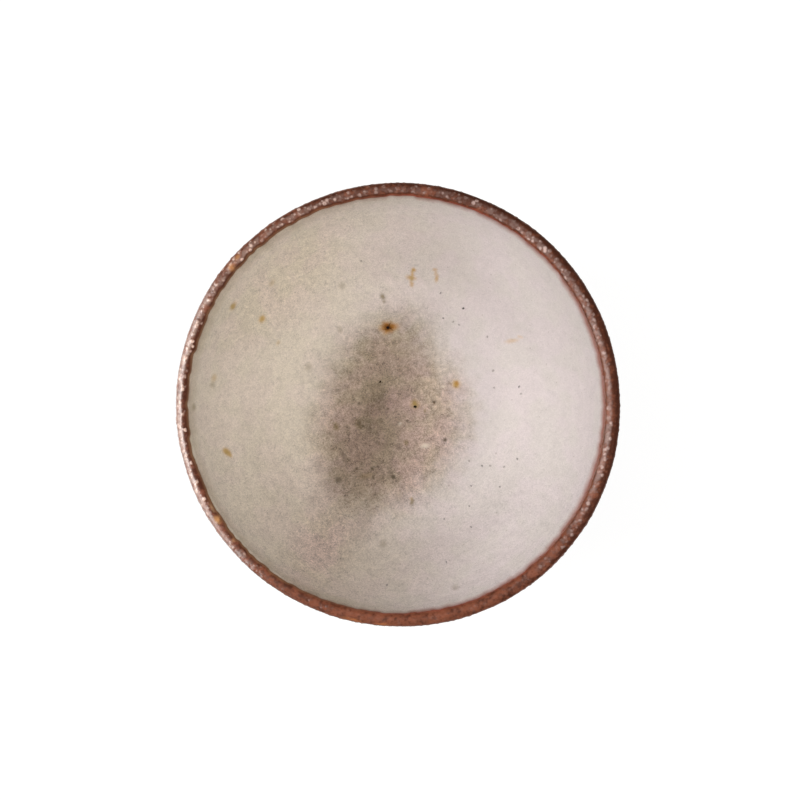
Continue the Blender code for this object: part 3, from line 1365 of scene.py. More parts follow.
@dataclass(frozen=True)
class IronGlaze(FiredFinish):
    """The glossy iron brown over the lip: red where thin, nearly black where thick, closely beaded. It has
    painted highlights over its beads and crest, painted shade on the lip's side away from the key lamp, and
    a painted reflection along its outer edge.

    Changes of side are in radii of the mouth, across the lip they go from 0 inside to 1 outside, and
    from the lip's edge inside they are in pixels.
    """

    name: str = "iron_glaze"
    specular: float = 0.12
    roughness: Span = (0.2, 0.5)
    pits: float = 0.3
    coat_roughness: float = 0.2
    coat_ior: float = 1.5
    view: PhotoView | None = None
    thick: Colour = fired(76, 40, 27)
    thin: Colour = fired(132, 77, 56)
    # Colours of the painted highlights, on the left and on the right.
    pale: Colour = fired(212, 180, 164)
    pink: Colour = fired(200, 172, 163)
    # Painted reflection of the pale floor along the lip's outer edge.
    rim: Colour = fired(176, 140, 126)
    edge_left: Colour = fired(124, 88, 64)
    edge_right: Colour = fired(150, 74, 56)
    skirt: Colour = fired(92, 54, 38)
    # Thickness of the iron glaze, with painted shade on the lip's side away from the key lamp.
    depth: LipDepthAndShade = LipDepthAndShade()
    # Painted highlights over the beads and along the crest.
    breaking: LipPaintedHighlights = LipPaintedHighlights()
    patch: float = 0.9 * MM
    broad_share: float = 1.2
    fine_share: float = 1.6
    patch_share: float = 1.1
    tone_change: Span = (0.1, 0.9)
    skirt_change: Span = (0.95, 1.7)
    fine_tone: Span = (0.4, 1.6)
    highlight_inward: Span = (1.8, 4.2)
    highlight_tint_change: Span = (-0.9, 0.3)
    rim_rise: Span = (0.78, 1.0)
    rim_fall: Span = (1.5, 1.05)
    rim_tone: Span = (0.3, 0.9)
    blotch_fray: Span = (0.5 * MM, 0.7 * MM)
    edge_change: Span = (0.31, -0.56)
    edge_fray: float = 2.0
    edge_reach: Span = (2.6, -0.6)
    gloss_change: Span = (0.35, 0.7)
    skirt_gloss: Span = (1.0, 0.2)
    back_gloss: Span = (1.0, 0.4)

    def surface(self, wiring: Wiring) -> Fed:
        """What the shader's sockets take."""
        cloud = wiring.place(Mottle(), Size=self.cloud)
        fine = cloud["Fine"]
        broad = cloud["Broad"].about_zero
        inward = wiring.stored("from_edge")
        outward = wiring.stored("across_lip")
        aside, back, _ = wiring.split(wiring.vector("SCALE", wiring.here, 1 / self.view.section.mouth))
        patch = wiring.noise(wiring.here, self.patch)
        tone = self.depth.share(aside, back, outward) + broad * self.broad_share
        tone = tone + fine.about_zero * self.fine_share + patch.about_zero * self.patch_share
        colour = tone.ease(*self.tone_change).between(self.thin, self.thick)
        skirted = outward.ease(*self.skirt_change)
        colour = skirted.between(colour, self.skirt).shaded(fine.spread(*self.fine_tone))
        # Painted highlights over the beads and along the crest.
        highlighted = self.breaking.share(wiring, aside, back, outward, patch) * inward.ease(*self.highlight_inward)
        colour = highlighted.between(colour, aside.ease(*self.highlight_tint_change).between(self.pale, self.pink))
        # Painted reflection: a paler band along the outermost edge of the lip.
        edge_reflection = outward.ease(*self.rim_rise) * outward.ease(*self.rim_fall) * fine.spread(*self.rim_tone)
        colour = self.blotched_and_glinting(wiring, edge_reflection.between(colour, self.rim))
        edge = aside.ease(*self.edge_change).between(self.edge_right, self.edge_left)
        colour = (inward + broad * self.edge_fray).ease(*self.edge_reach).between(colour, edge)
        gloss = outward.ease(*self.gloss_change) * skirted.spread(*self.skirt_gloss)
        coat = {
            "Coat Weight": gloss * back.ease(*FAR_BACK).spread(*self.back_gloss),
            "Coat Roughness": self.coat_roughness,
            "Coat IOR": self.coat_ior,
        }
        return self.sockets(colour, fine) | coat

    def blotched_and_glinting(self, wiring: Wiring, colour: Value) -> Value:
        """The colour with the amber blotches where the glaze ran off the lip, and a painted orange highlight
        along the outer edge at the front.

        Args:
            wiring: the material's wiring.
            colour: the colour so far.

        Returns:
            The blotched colour.
        """
        frayed = wiring.frayed(*self.blotch_fray)
        pixel = self.view.pixel
        for blotch in LIP_BLOTCHES_AND_GLINTS:
            turn = math.radians(blotch.turn)
            out = blotch.out * pixel
            spot = wiring.place(
                PlacedStain(),
                Vector=frayed,
                Centre=(out * math.cos(turn), out * math.sin(turn), self.view.section.top),
                Spread=(blotch.across * pixel / 2, blotch.along * pixel / 2, STAIN_DEPTH),
                Tilt=turn,
                Core=0.0,
                Strength=blotch.strength,
            )
            colour = spot["Mask"].between(colour, blotch.tone)
        return colour


@dataclass(frozen=True)
class BrownGlaze(FiredFinish):
    """The satin brown outside: rusty on the ridges, dark in the furrows, streaked where it ran."""

    name: str = "brown_glaze"
    specular: float = 0.4
    roughness: Span = (0.28, 0.5)
    cloud: float = 0.7 * MM
    line_relief: float = 0.8
    pooled: Colour = fired(64, 38, 28)
    breaking: Colour = fired(116, 68, 47)
    fleck: Colour = fired(40, 27, 22)
    line: Colour = fired(50, 32, 26)
    wide_cloud: float = 1.8 * MM
    line_spacing: float = 0.9 * MM
    streaks: Vector = (130, 130, 18)
    streak_detail: float = 4.0
    ridge_share: float = 0.24
    streak_share: float = 1.1
    line_share: float = 0.12
    broad_share: float = 1.3
    fine_share: float = 0.9
    ridge_middle: float = 0.5
    tone_change: Span = (0.05, 1.0)
    fine_tone: Span = (0.75, 1.25)
    specks: Scatter = Scatter(1.3 * MM, 0.4, 0.3 * MM, 0.6)
    line_reach: Span = (1.6, 0.2)

    def surface(self, wiring: Wiring) -> Fed:
        """What the shader's sockets take."""
        cloud = wiring.place(Mottle(), Size=self.cloud)
        wide = wiring.place(Mottle(), Size=self.wide_cloud)
        run = wiring.stored("run")
        lines = wiring.place(TurningLines(), Run=run, Spacing=self.line_spacing)["Height"]
        streaks = wiring.noise(wiring.vector("MULTIPLY", wiring.here, self.streaks), 1.0, self.streak_detail)
        ridge = wiring.stored("ridge").about_zero * self.ridge_share
        ridge = ridge + streaks.about_zero * self.streak_share + lines.about_zero * self.line_share
        ridge = ridge + self.ridge_middle + wide["Broad"].about_zero * self.broad_share
        ridge = ridge + wide["Fine"].about_zero * self.fine_share
        colour = ridge.ease(*self.tone_change).between(self.pooled, self.breaking)
        colour = colour.shaded(cloud["Fine"].spread(*self.fine_tone))
        colour = self.specks.mask(wiring).between(colour, self.fleck)
        colour = wiring.stored("above_line").ease(*self.line_reach).between(colour, self.line)
        return self.sockets(colour, cloud["Broad"], lines)


@dataclass(frozen=True)
class BareClay(FiredFinish):
    """Fired stoneware without glaze: sandy, speckled, with turning lines and a blush near the glaze."""

    name: str = "bare_clay"
    specular: float = 0.25
    roughness: Span = (0.75, 0.95)
    cloud: float = 0.6 * MM
    grain: float = 0.25 * MM
    pits: float = 0.8
    relief: float = 0.05 * MM
    line_relief: float = 1.5
    ground: Colour = fired(196, 172, 146)
    toasted: Colour = fired(172, 142, 114)
    blush: Colour = fired(176, 122, 88)
    speck: Colour = fired(82, 62, 48)
    sand: Colour = fired(216, 198, 174)
    line_spacing: float = 0.5 * MM
    line_share: float = 0.3
    tone_change: Span = (0.25, 0.75)
    fine_tone: Span = (0.75, 1.25)
    grit: Scatter = Scatter(0.8 * MM, 0.3, 0.2 * MM, 0.5)
    specks: Scatter = Scatter(1.4 * MM, 0.35, 0.28 * MM, 0.7)
    blush_share: float = 0.7
    wear_tone: Span = (0.2, 0.9)

    def surface(self, wiring: Wiring) -> Fed:
        """What the shader's sockets take."""
        cloud = wiring.place(Mottle(), Size=self.cloud)
        fine = cloud["Fine"]
        run = wiring.stored("run")
        lines = wiring.place(TurningLines(), Run=run, Spacing=self.line_spacing)["Height"]
        tone = cloud["Broad"] + lines.about_zero * self.line_share
        colour = tone.ease(*self.tone_change).between(self.toasted, self.ground)
        colour = colour.shaded(fine.spread(*self.fine_tone))
        colour = self.grit.mask(wiring).between(colour, self.sand)
        colour = self.specks.mask(wiring).between(colour, self.speck)
        colour = (wiring.stored("blush") * self.blush_share).between(colour, self.blush)
        worn = wiring.stored("wear") * fine.spread(*self.wear_tone)
        return self.sockets(worn.between(colour, self.sand), fine, lines)


@dataclass(frozen=True)
class CardPaper(Finish):
    """The matte black of the studio's card."""

    name: str = "dark_card"
    tone: Colour = (0.02, 0.02, 0.02)
    roughness: float = 1.0

    def surface(self, wiring: Wiring) -> Fed:
        """What the shader's sockets take."""
        return {"Base Color": self.tone, "Roughness": self.roughness}


@dataclass
class LipEdge:
    """The line inside the mouth where the iron glaze ends and the pale glaze begins, in pixels."""

    section: Section
    view: PhotoView
    level: float = 208.8
    toward_right: float = -2.75
    toward_top: float = 0.35
    toward_sides: float = -0.42
    back_left: float = -1.2
    back_left_turn: float = 145
    back_left_power: int = 4
    wave: Swell = (11, 0.6, 9)
    rags: Swell = (12, 1, 1.3)
    ragged: float = 0.9
    ragged_right: float = -0.4

    def seen(self, angle: Array) -> Array:
        """How far from the photograph's middle the line shows.

        Args:
            angle: turns about the axis.

        Returns:
            Distances in pixels.
        """
        level = self.level + self.toward_right * np.cos(angle) + self.toward_top * np.sin(angle)
        level = level + self.toward_sides * np.cos(2 * angle)
        facing = np.maximum(np.cos(angle - math.radians(self.back_left_turn)), 0)
        level = level + self.back_left * facing**self.back_left_power
        ring = round_points(self.section.mouth, angle, 0)
        ragged = (self.ragged + self.ragged_right * np.cos(angle)) * swells(ring, self.rags)
        return level + swells(ring, self.wave) + ragged

    def reach(self, angle: Array) -> Array:
        """Length along the section at which the line lies, by angle."""
        return self.view.reach_seen(self.seen(angle))


@dataclass
class Piece:
    """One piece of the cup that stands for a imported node. Heights of its relief are in millimetres."""

    section: Section
    name: str = ""
    node: str = ""
    slot: str = ""
    edge: LipEdge | None = None
    columns: int = 400
    strips: int = 4

    def build(self) -> Mesh:
        """The piece's mesh."""
        raise NotImplementedError

    def finish(self) -> Finish:
        """The piece's finish."""
        raise NotImplementedError

    def dress(self, mesh: Mesh) -> bpy.types.Object:
        """Gives the mesh its finish and puts it in the scene.

        Args:
            mesh: the piece's mesh.

        Returns:
            The piece, riding on the cup in place of its node.
        """
        mesh.materials.append(self.finish().material())
        mesh.shade_smooth()
        piece = put(self.name, mesh)
        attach(piece, BODY)
        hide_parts(self.node)
        return piece

    @property
    def angle(self) -> Array:
        """Turns about the axis of a row of points."""
        return np.linspace(0, TURN, self.columns, endpoint=False)

    def mesh_of(self, points: Array, faces: list, corners: Array, stored: dict[str, Array]) -> Mesh:
        """Makes a mesh with its own bake map.

        Args:
            points: places in metres.
            faces: point numbers of each face.
            corners: place in the bake map of each corner of each face, in order.
            stored: values that the finish reads, one for each point or each row of points.

        Returns:
            The mesh.
        """
        mesh = plain_mesh(self.name, points.reshape(-1, 3).tolist(), faces)
        layer = mesh.uv_layers.new(name=BAKE_MAP)
        layer.uv.foreach_set("vector", np.ascontiguousarray(corners, dtype=np.float32).ravel())
        for name, values in stored.items():
            kept = mesh.attributes.new(name, "FLOAT", "POINT")
            filled = np.broadcast_to(values, points.shape[:-1])
            kept.data.foreach_set("value", np.ascontiguousarray(filled, dtype=np.float32).ravel())
        mesh.update()
        return mesh

    def ring_mesh(self, grid: Array, stored: dict[str, Array], shown: int) -> Mesh:
        """Makes a closed ring from a grid of points, its bake map cut into strips.

        Args:
            grid: points by row round the section and by column round the axis.
            stored: values for the finish.
            shown: how many of the first rows are in sight.

        Returns:
            The mesh.
        """
        rows, columns = grid.shape[:2]
        front = np.linspace(*ROWS_SHOWN, shown)
        share = np.concatenate([front, np.linspace(*ROWS_BEHIND, rows - shown), [ROWS_END]])[:, None]
        width = columns // self.strips
        strip, place = np.divmod(np.arange(columns), width)
        start = MAP_MARGIN + (1 - 2 * MAP_MARGIN) * place / width
        stop = start + (1 - 2 * MAP_MARGIN) / width
        low, high = ((strip + row) / self.strips for row in (share[:-1], share[1:]))
        faces = turned_faces(rows, columns, rows).reshape(-1, 4).tolist()
        return self.mesh_of(grid, faces, map_corners(start, stop, low, high), stored)


@dataclass
class Liner(Piece):
    """The pale coat inside, from the middle of the floor to just under the edge of the lip coat."""

    name: str = "pale_liner"
    node: str = "liner_glaze"
    slot: str = "pale_glaze"
    cells: int = 266
    even_spacing: float = 0.6
    grown_spacing: float = 0.4
    tuck: float = 0.5 * MM
    depth: float = 0.5 * MM
    back_rings: int = 18
    slow: tuple[Swell, ...] = ((21, 0.10, 17), (22, 0.03, 5))
    fine: Swell = (23, 0.008, 1.3)
    wander: Swell = (24, 0.5, 12)
    ring_height: float = 0.018
    ring_pitch: float = 4.2 * MM
    ring_wander: float = 2.0
    ring_start: Span = (14 * MM, 24 * MM)
    spiral_height: float = 0.05
    spiral_pitch: float = 5.0 * MM
    spiral_start: Span = (1.5 * MM, 4 * MM)
    spiral_end: Span = (18 * MM, 10 * MM)
    floor_end: float = 15.5 * MM
    ridge_height: float = 0.10
    ridge_width: float = 2.2 * MM
    edge_fade: float = 5 * MM
    edge_sunk: float = 0.12
    front_share: float = 0.94
    back_width: float = 0.99
    back_from: float = 0.955
    back_share: float = 0.04

    def build(self) -> Mesh:
        """The coat's mesh, a round grid of near-square cells with a coarse back."""
        side = np.linspace(-1, 1, self.cells + 1)
        share, angle = self.rounded(*np.meshgrid(side, side, indexing="ij"))
        limit = self.edge.reach(angle) + self.tuck
        reach = limit * (self.even_spacing * share + self.grown_spacing * share * share)
        front = self.section.turned(reach, angle, self.relief(reach, angle, limit - self.tuck - reach))
        below = self.edge.seen(angle) - self.edge.view.seen(reach)
        rim = self.perimeter()
        back = self.back(angle.ravel()[rim])
        points = np.concatenate([front.reshape(-1, 3), back])
        stored = np.concatenate([below.ravel(), np.zeros(len(back))])
        return self.mesh_of(points, self.faces(rim), self.corners(len(rim)), {"below_edge": stored})

    @staticmethod
    def rounded(right: Array, ahead: Array) -> tuple[Array, Array]:
        """Bends a square grid into a round one.

        Args:
            right: places across the square, -1 to 1.
            ahead: places along the square, -1 to 1.

        Returns:
            Share of the radius and angle of each place.
        """
        wide = np.abs(right) >= np.abs(ahead)
        across = math.pi / 4 * ahead / np.where(wide & (right != 0), right, 1)
        along = math.pi / 2 - math.pi / 4 * right / np.where(~wide & (ahead != 0), ahead, 1)
        angle = np.where(wide, across, along)
        signed = np.where(wide, right, ahead)
        return np.abs(signed), np.where(signed < 0, angle + math.pi, angle)

    def relief(self, reach: Array, angle: Array, below: Array) -> Array:
        """Height of the glaze over its plain line: throwing rings, a spiral on the floor and slow swells.

        Args:
            reach: lengths along the section.
            angle: turns about the axis.
            below: how far below the edge of the lip coat, in metres.

        Returns:
            Heights in metres, a little lower where the lip coat lies on top.
        """
        plain = self.section.turned(reach, angle, 0.0)
        wander = swells(plain, self.wander)
        rings = self.ring_height * np.sin(TURN * reach / self.ring_pitch - angle + self.ring_wander * wander)
        rings = rings * eased(reach, *self.ring_start)
        spiral = self.spiral_height * np.sin(TURN * reach / self.spiral_pitch - angle + wander)
        spiral = spiral * eased(reach, *self.spiral_start) * eased(reach, *self.spiral_end)
        ridge = self.ridge_height * np.exp(-(((reach - self.floor_end) / self.ridge_width) ** 2))
        shown = eased(below, 0.0, self.edge_fade)
        level = (swells(plain, *self.slow) + rings) * shown + swells(plain, self.fine)
        return (level + spiral + ridge - self.edge_sunk * (1 - shown)) * MM

    def perimeter(self) -> Array:
        """Numbers of the grid's outer points, counter-clockwise."""
        last = self.cells
        steps = np.arange(last)
        width = last + 1
        sides = (last * width + steps, (last - steps) * width + last, last - steps, steps * width)
        return np.concatenate(sides)

    def back(self, angle: Array) -> Array:
        """The points behind the coat.

        Args:
            angle: turns about the axis of the rim's points.

        Returns:
            Rings of points from the edge inward, and one in the middle.
        """
        limit = self.edge.reach(angle) + self.tuck
        share = 1 - np.arange(self.back_rings)[:, None] / self.back_rings
        rings = self.section.turned(limit * share, angle, -self.depth)
        middle = self.section.turned(np.zeros(1), np.zeros(1), -self.depth)
        return np.concatenate([rings.reshape(-1, 3), middle])

    def faces(self, rim: Array) -> list[list[int]]:
        """Faces of the front grid, of the back's rings and of the fan in its middle.

        Args:
            rim: numbers of the front grid's outer points.

        Returns:
            Point numbers of each face.
        """
        width = self.cells + 1
        right, ahead = np.meshgrid(np.arange(self.cells), np.arange(self.cells), indexing="ij")
        here = right * width + ahead
        front = np.stack([here, here + width, here + width + 1, here + 1], axis=-1)
        behind = width * width + np.arange(self.back_rings * len(rim))
        loops = np.concatenate([rim, behind]).reshape(-1, len(rim))
        beside = np.roll(loops, -1, axis=1)
        back = np.stack([loops[:-1], loops[1:], beside[1:], beside[:-1]], axis=-1)
        middle = np.full(len(rim), behind[-1] + 1)
        fan = np.stack([loops[-1], middle, beside[-1]], axis=-1)
        return front.reshape(-1, 4).tolist() + back.reshape(-1, 4).tolist() + fan.tolist()

    def corners(self, count: int) -> Array:
        """Corners of the faces in the bake map, the back in a narrow strip above the front.

        Args:
            count: how many points the rim has.

        Returns:
            Places in the map, in the order of the faces' corners.
        """
        right, ahead = np.meshgrid(np.arange(self.cells), np.arange(self.cells), indexing="ij")
        cells = map_corners(ahead, ahead + 1, right, right + 1)[..., ::-1]
        front = MAP_MARGIN + self.front_share * cells / self.cells
        column = np.arange(count)
        start, stop = (MAP_MARGIN + self.back_width * step / count for step in (column, column + 1))
        rows = self.back_rings + 1
        ring = np.arange(rows)[:, None]
        low, high = (self.back_from + self.back_share * step / rows for step in (ring, ring + 1))
        back = map_corners(start, stop, low, high)
        parts = (front, back[:-1], back[-1][:, [0, 1, 3]])
        return np.concatenate([part.reshape(-1, 2) for part in parts])

    def finish(self) -> Finish:
        """The pale glaze."""
        return PaleGlaze(view=self.edge.view)


@dataclass
class CoatRing(Piece):
    """A coat that goes round the cup, fine in front and coarse behind."""

    rows: int = 0
    back_rows: int = 0
    depth: float = 0.5 * MM

    def closed(self, first: Array | float, last: Array, reach: Array, lift: Array, stored: dict) -> Mesh:
        """Makes the mesh of the coat from its front.

        Args:
            first: where the coat begins along the section.
            last: where it ends.
            reach: lengths along the section of the front's points.
            lift: their heights above the glazed line.
            stored: values of the front for the finish; behind, all but the run are blank.

        Returns:
            The mesh, closed behind.
        """
        back_reach = first + (last - first) * np.linspace(1, 0, self.back_rows)[:, None]
        front = self.section.turned(reach, self.angle, lift)
        back = self.section.turned(back_reach, self.angle, -self.depth)
        blank = np.zeros(back_reach.shape)
        kept = {}
        for name, values in stored.items():
            kept[name] = np.concatenate([values, back_reach if name == "run" else blank])
        return self.ring_mesh(np.concatenate([front, back]), kept, self.rows)


@dataclass
class LipCoat(CoatRing):
    """The beaded iron glaze over the lip."""

    name: str = "lip_coat"
    node: str = "lip_glaze"
    slot: str = "iron_glaze"
    columns: int = 1440
    rows: int = 56
    back_rows: int = 6
    strips: int = 5
    drop: float = 6.6 * MM
    overlap: float = 0.25 * MM
    lip_width: float = 3.6 * MM
    outer_edge: Swell = (31, 0.5, 6)
    bead_seeds: tuple[int, int] = (32, 33)
    bead_sizes: Span = (0.94 * MM, 0.50 * MM)
    bead_heights: Span = (0.12, 0.06)
    bead_shares: Span = (0.7, 0.3)
    slow: Swell = (34, 0.04, 5)
    lift: float = 0.03
    inner_fade: float = 0.7 * MM
    inner_sunk: float = 0.04
    outer_fade: float = 1.8 * MM
    outer_sunk: float = 0.18

    def build(self) -> Mesh:
        """The coat's mesh, a ring from its inner edge over the crown to its outer edge."""
        ring = round_points(self.section.mouth, self.angle, 0)
        inner = self.edge.reach(self.angle) - self.overlap
        outer = self.section.reach_of_height(self.section.top - self.drop)
        outer = outer + swells(ring, self.outer_edge) * MM
        reach = inner + (outer - inner) * np.linspace(0, 1, self.rows)[:, None]
        beads, lift = self.relief(reach, inner, outer)
        crown = self.section.reach[self.section.crown_top]
        inward = self.edge.view.seen(reach) - self.edge.seen(self.angle)
        stored = {
            "bead_height": beads,
            "from_edge": np.where(reach < crown, np.minimum(inward, EDGE_LIMIT), EDGE_LIMIT),
            "across_lip": 0.5 + (reach - crown) / self.lip_width,
        }
        return self.closed(inner, outer, reach, lift, stored)

    def relief(self, reach: Array, inner: Array, outer: Array) -> tuple[Array, Array]:
        """The coat's beads and its height over the plain line.

        Args:
            reach: lengths along the section.
            inner: where the coat begins.
            outer: where it ends.

        Returns:
            Beads from 0 to 1, and heights in metres.
        """
        plain = self.section.turned(reach, self.angle, 0.0)
        sorts = zip(self.bead_seeds, self.bead_sizes)
        large, small = (Unevenness(seed).beads(plain, size) for seed, size in sorts)
        height = self.bead_heights[0] * large + self.bead_heights[1] * small + swells(plain, self.slow)
        inside = eased(reach - inner, 0, self.inner_fade)
        outside = eased(outer - reach, 0, self.outer_fade)
        level = (height + self.lift) * inside * outside
        level = level - self.inner_sunk * (1 - inside) - self.outer_sunk * (1 - outside)
        beads = self.bead_shares[0] * large + self.bead_shares[1] * small
        return beads * inside * outside, level * MM

    def finish(self) -> Finish:
        """The iron glaze."""
        return IronGlaze(view=self.edge.view)


@dataclass
class OuterCoat(CoatRing):
    """The brown glaze outside, from under the lip coat to the rolled glaze line above the foot."""

    name: str = "outer_coat"
    node: str = "outer_glaze"
    slot: str = "brown_glaze"
    columns: int = 640
    rows: int = 120
    back_rows: int = 10
    drop: float = 5.0 * MM
    glaze_line: float = 11.1 * MM
    runs: tuple[Swell, ...] = ((41, 0.7, 14), (42, 0.35, 4))
    crowding: float = 0.12
    ridge_height: float = 0.10
    ridge_pitch: float = 4.3 * MM
    ridge_wander: Swell = (43, 1.5, 14)
    ridge_rest: float = 0.6
    ridge_change: Swell = (47, 0.4, 7)
    ridge_stretch: Vector = (0.2, 0.2, 1.0)
    slow: tuple[Swell, ...] = ((44, 0.10, 16), (45, 0.03, 3.5))
    bead_seed: int = 46
    bead_height: float = 0.02
    bead_size: float = 1.2 * MM
    roll_height: float = 0.22
    roll_place: float = 0.9 * MM
    roll_width: float = 0.7 * MM
    lower_sunk: float = 0.35
    lower_fade: float = 0.5 * MM
    upper_sunk: float = 0.12
    upper_fade: Span = (1.0 * MM, 4.0 * MM)

    def build(self) -> Mesh:
        """The coat's mesh, a ring down the outside wall."""
        ring = round_points(self.section.foot_radius, self.angle, 0)
        upper = self.section.reach_of_height(self.section.top - self.drop)
        lower = self.section.reach_of_height(self.glaze_line) + swells(ring, *self.runs) * MM
        share = np.linspace(0, 1, self.rows)[:, None]
        share = share + self.crowding * np.sin(math.pi * share) * share
        reach = upper + (lower - upper) * share
        ridge, lift = self.relief(reach, upper, lower)
        stored = {"ridge": ridge, "run": reach, "above_line": (lower - reach) / MM}
        return self.closed(upper, lower, reach, lift, stored)

    def relief(self, reach: Array, upper: float, lower: Array) -> tuple[Array, Array]:
        """The throwing ridges and the coat's height over the plain line.

        Args:
            reach: lengths along the section.
            upper: where the coat begins, under the lip coat.
            lower: where it ends.

        Returns:
            Ridges from 0 to 1, and heights in metres.
        """
        plain = self.section.turned(reach, self.angle, 0.0)
        phase = TURN * reach / self.ridge_pitch + self.angle + swells(plain, self.ridge_wander)
        uneven = self.ridge_rest + swells(plain * self.ridge_stretch, self.ridge_change)
        ridge = 0.5 + 0.5 * uneven * np.sin(phase)
        beads = self.bead_height * Unevenness(self.bead_seed).beads(plain, self.bead_size)
        near = lower - reach
        roll = self.roll_height * np.exp(-(((near - self.roll_place) / self.roll_width) ** 2))
        ending = self.lower_sunk * eased(near, self.lower_fade, 0.0)
        shown = eased(reach - upper, *self.upper_fade)
        height = (self.ridge_height * (ridge - 0.5) + swells(plain, *self.slow)) * shown
        return ridge, (height + beads + roll - ending - self.upper_sunk * (1 - shown)) * MM

    def finish(self) -> Finish:
        """The brown glaze."""
        return BrownGlaze()


@dataclass
class ClayBody(Piece):
    """The thrown clay, bare between the glaze line and the foot and under the floor."""

    name: str = "thrown_body"
    node: str = "clay_body"
    slot: str = "stoneware"
    glazed_rows: int = 86
    bare_rows: int = 40
    under_rows: int = 60
    bare_top: float = 13.5 * MM
    blush_width: float = 5.12 * MM
    pole: float = 0.02 * MM
    slow: Swell = (51, 0.04, 9)
    tool_height: float = 0.03
    tool_pitch: float = 1.1 * MM
    tool_wander: Swell = (52, 1.5, 8)
    under_height: float = 0.05
    under_pitch: float = 1.6 * MM
    under_slow: Swell = (53, 0.06, 6)
    under_fade: Span = (1 * MM, 5 * MM)
    peak_height: float = 0.5
    peak_width: float = 3.0 * MM
    map_width: float = 0.98
    map_from: float = 0.01
    map_height: float = 0.95
    cap_size: float = 0.01
    cap_places: tuple[Span, Span] = ((0.3, 0.98), (0.6, 0.98))

    def build(self) -> Mesh:
        """The body's mesh, turned from the middle of its floor over the lip to that of its underside."""
        section = self.section
        bare = section.reach_of_height(self.bare_top)
        glazed = np.linspace(self.pole, bare, self.glazed_rows, endpoint=False)
        reach = np.concatenate([glazed, np.linspace(bare, section.reach[-1], self.bare_rows)])[:, None]
        wall = section.turned(reach, self.angle, -section.coat + self.tooling(reach))
        out = np.linspace(section.foot_radius, self.pole, self.under_rows)[1:, None]
        run = np.concatenate([reach, section.reach[-1] + section.foot_radius - out])
        blush = eased(np.abs(run - bare), self.blush_width, 0)
        stored = {"run": run, "blush": blush, "wear": np.zeros(1)}
        return self.capped_mesh(np.concatenate([wall, self.underside(out)]), stored)

    def tooling(self, reach: Array) -> Array:
        """Fine steps that the turning tool leaves on the bare clay, in metres."""
        plain = self.section.turned(reach, self.angle, 0.0)
        steps = self.tool_height * np.sin(TURN * reach / self.tool_pitch + swells(plain, self.tool_wander))
        return (swells(plain, self.slow) + steps) * MM

    def underside(self, out: Array) -> Array:
        """Points of the turned underside inside the foot, with a low peak in its middle.

        Args:
            out: distances from the axis.

        Returns:
            The points by row and column.
        """
        flat = round_points(out, self.angle, self.section.underside)
        rings = self.under_height * np.sin(TURN * out / self.under_pitch - self.angle)
        peak = self.peak_height * np.exp(-((out / self.peak_width) ** 2))
        inside = eased(out, *(self.section.foot_radius - fade for fade in self.under_fade))
        flat[..., 2] -= (rings + peak + swells(flat, self.under_slow)) * MM * inside
        return flat

    def capped_mesh(self, grid: Array, stored: dict[str, Array]) -> Mesh:
        """A mesh turned from pole to pole.

        Args:
            grid: points by row and by column round the axis.
            stored: values for the finish.

        Returns:
            The mesh, closed by one small face at each pole.
        """
        rows, columns = grid.shape[:2]
        bands = rows - 1
        band = np.arange(bands)[:, None]
        column = np.arange(columns)
        start, stop = (MAP_MARGIN + self.map_width * step / columns for step in (column, column + 1))
        low, high = (self.map_from + self.map_height * step / bands for step in (band, band + 1))
        wall = map_corners(start, stop, low, high).reshape(-1, 2)
        disc = np.stack([np.cos(self.angle), np.sin(self.angle)], axis=-1) * self.cap_size
        corners = np.concatenate([wall, *(disc + place for place in self.cap_places)])
        faces = turned_faces(rows, columns, bands).reshape(-1, 4).tolist()
        faces += [column.tolist(), (bands * columns + column[::-1]).tolist()]
        return self.mesh_of(grid, faces, corners, stored)

    def finish(self) -> Finish:
        """The bare clay."""
        return BareClay()


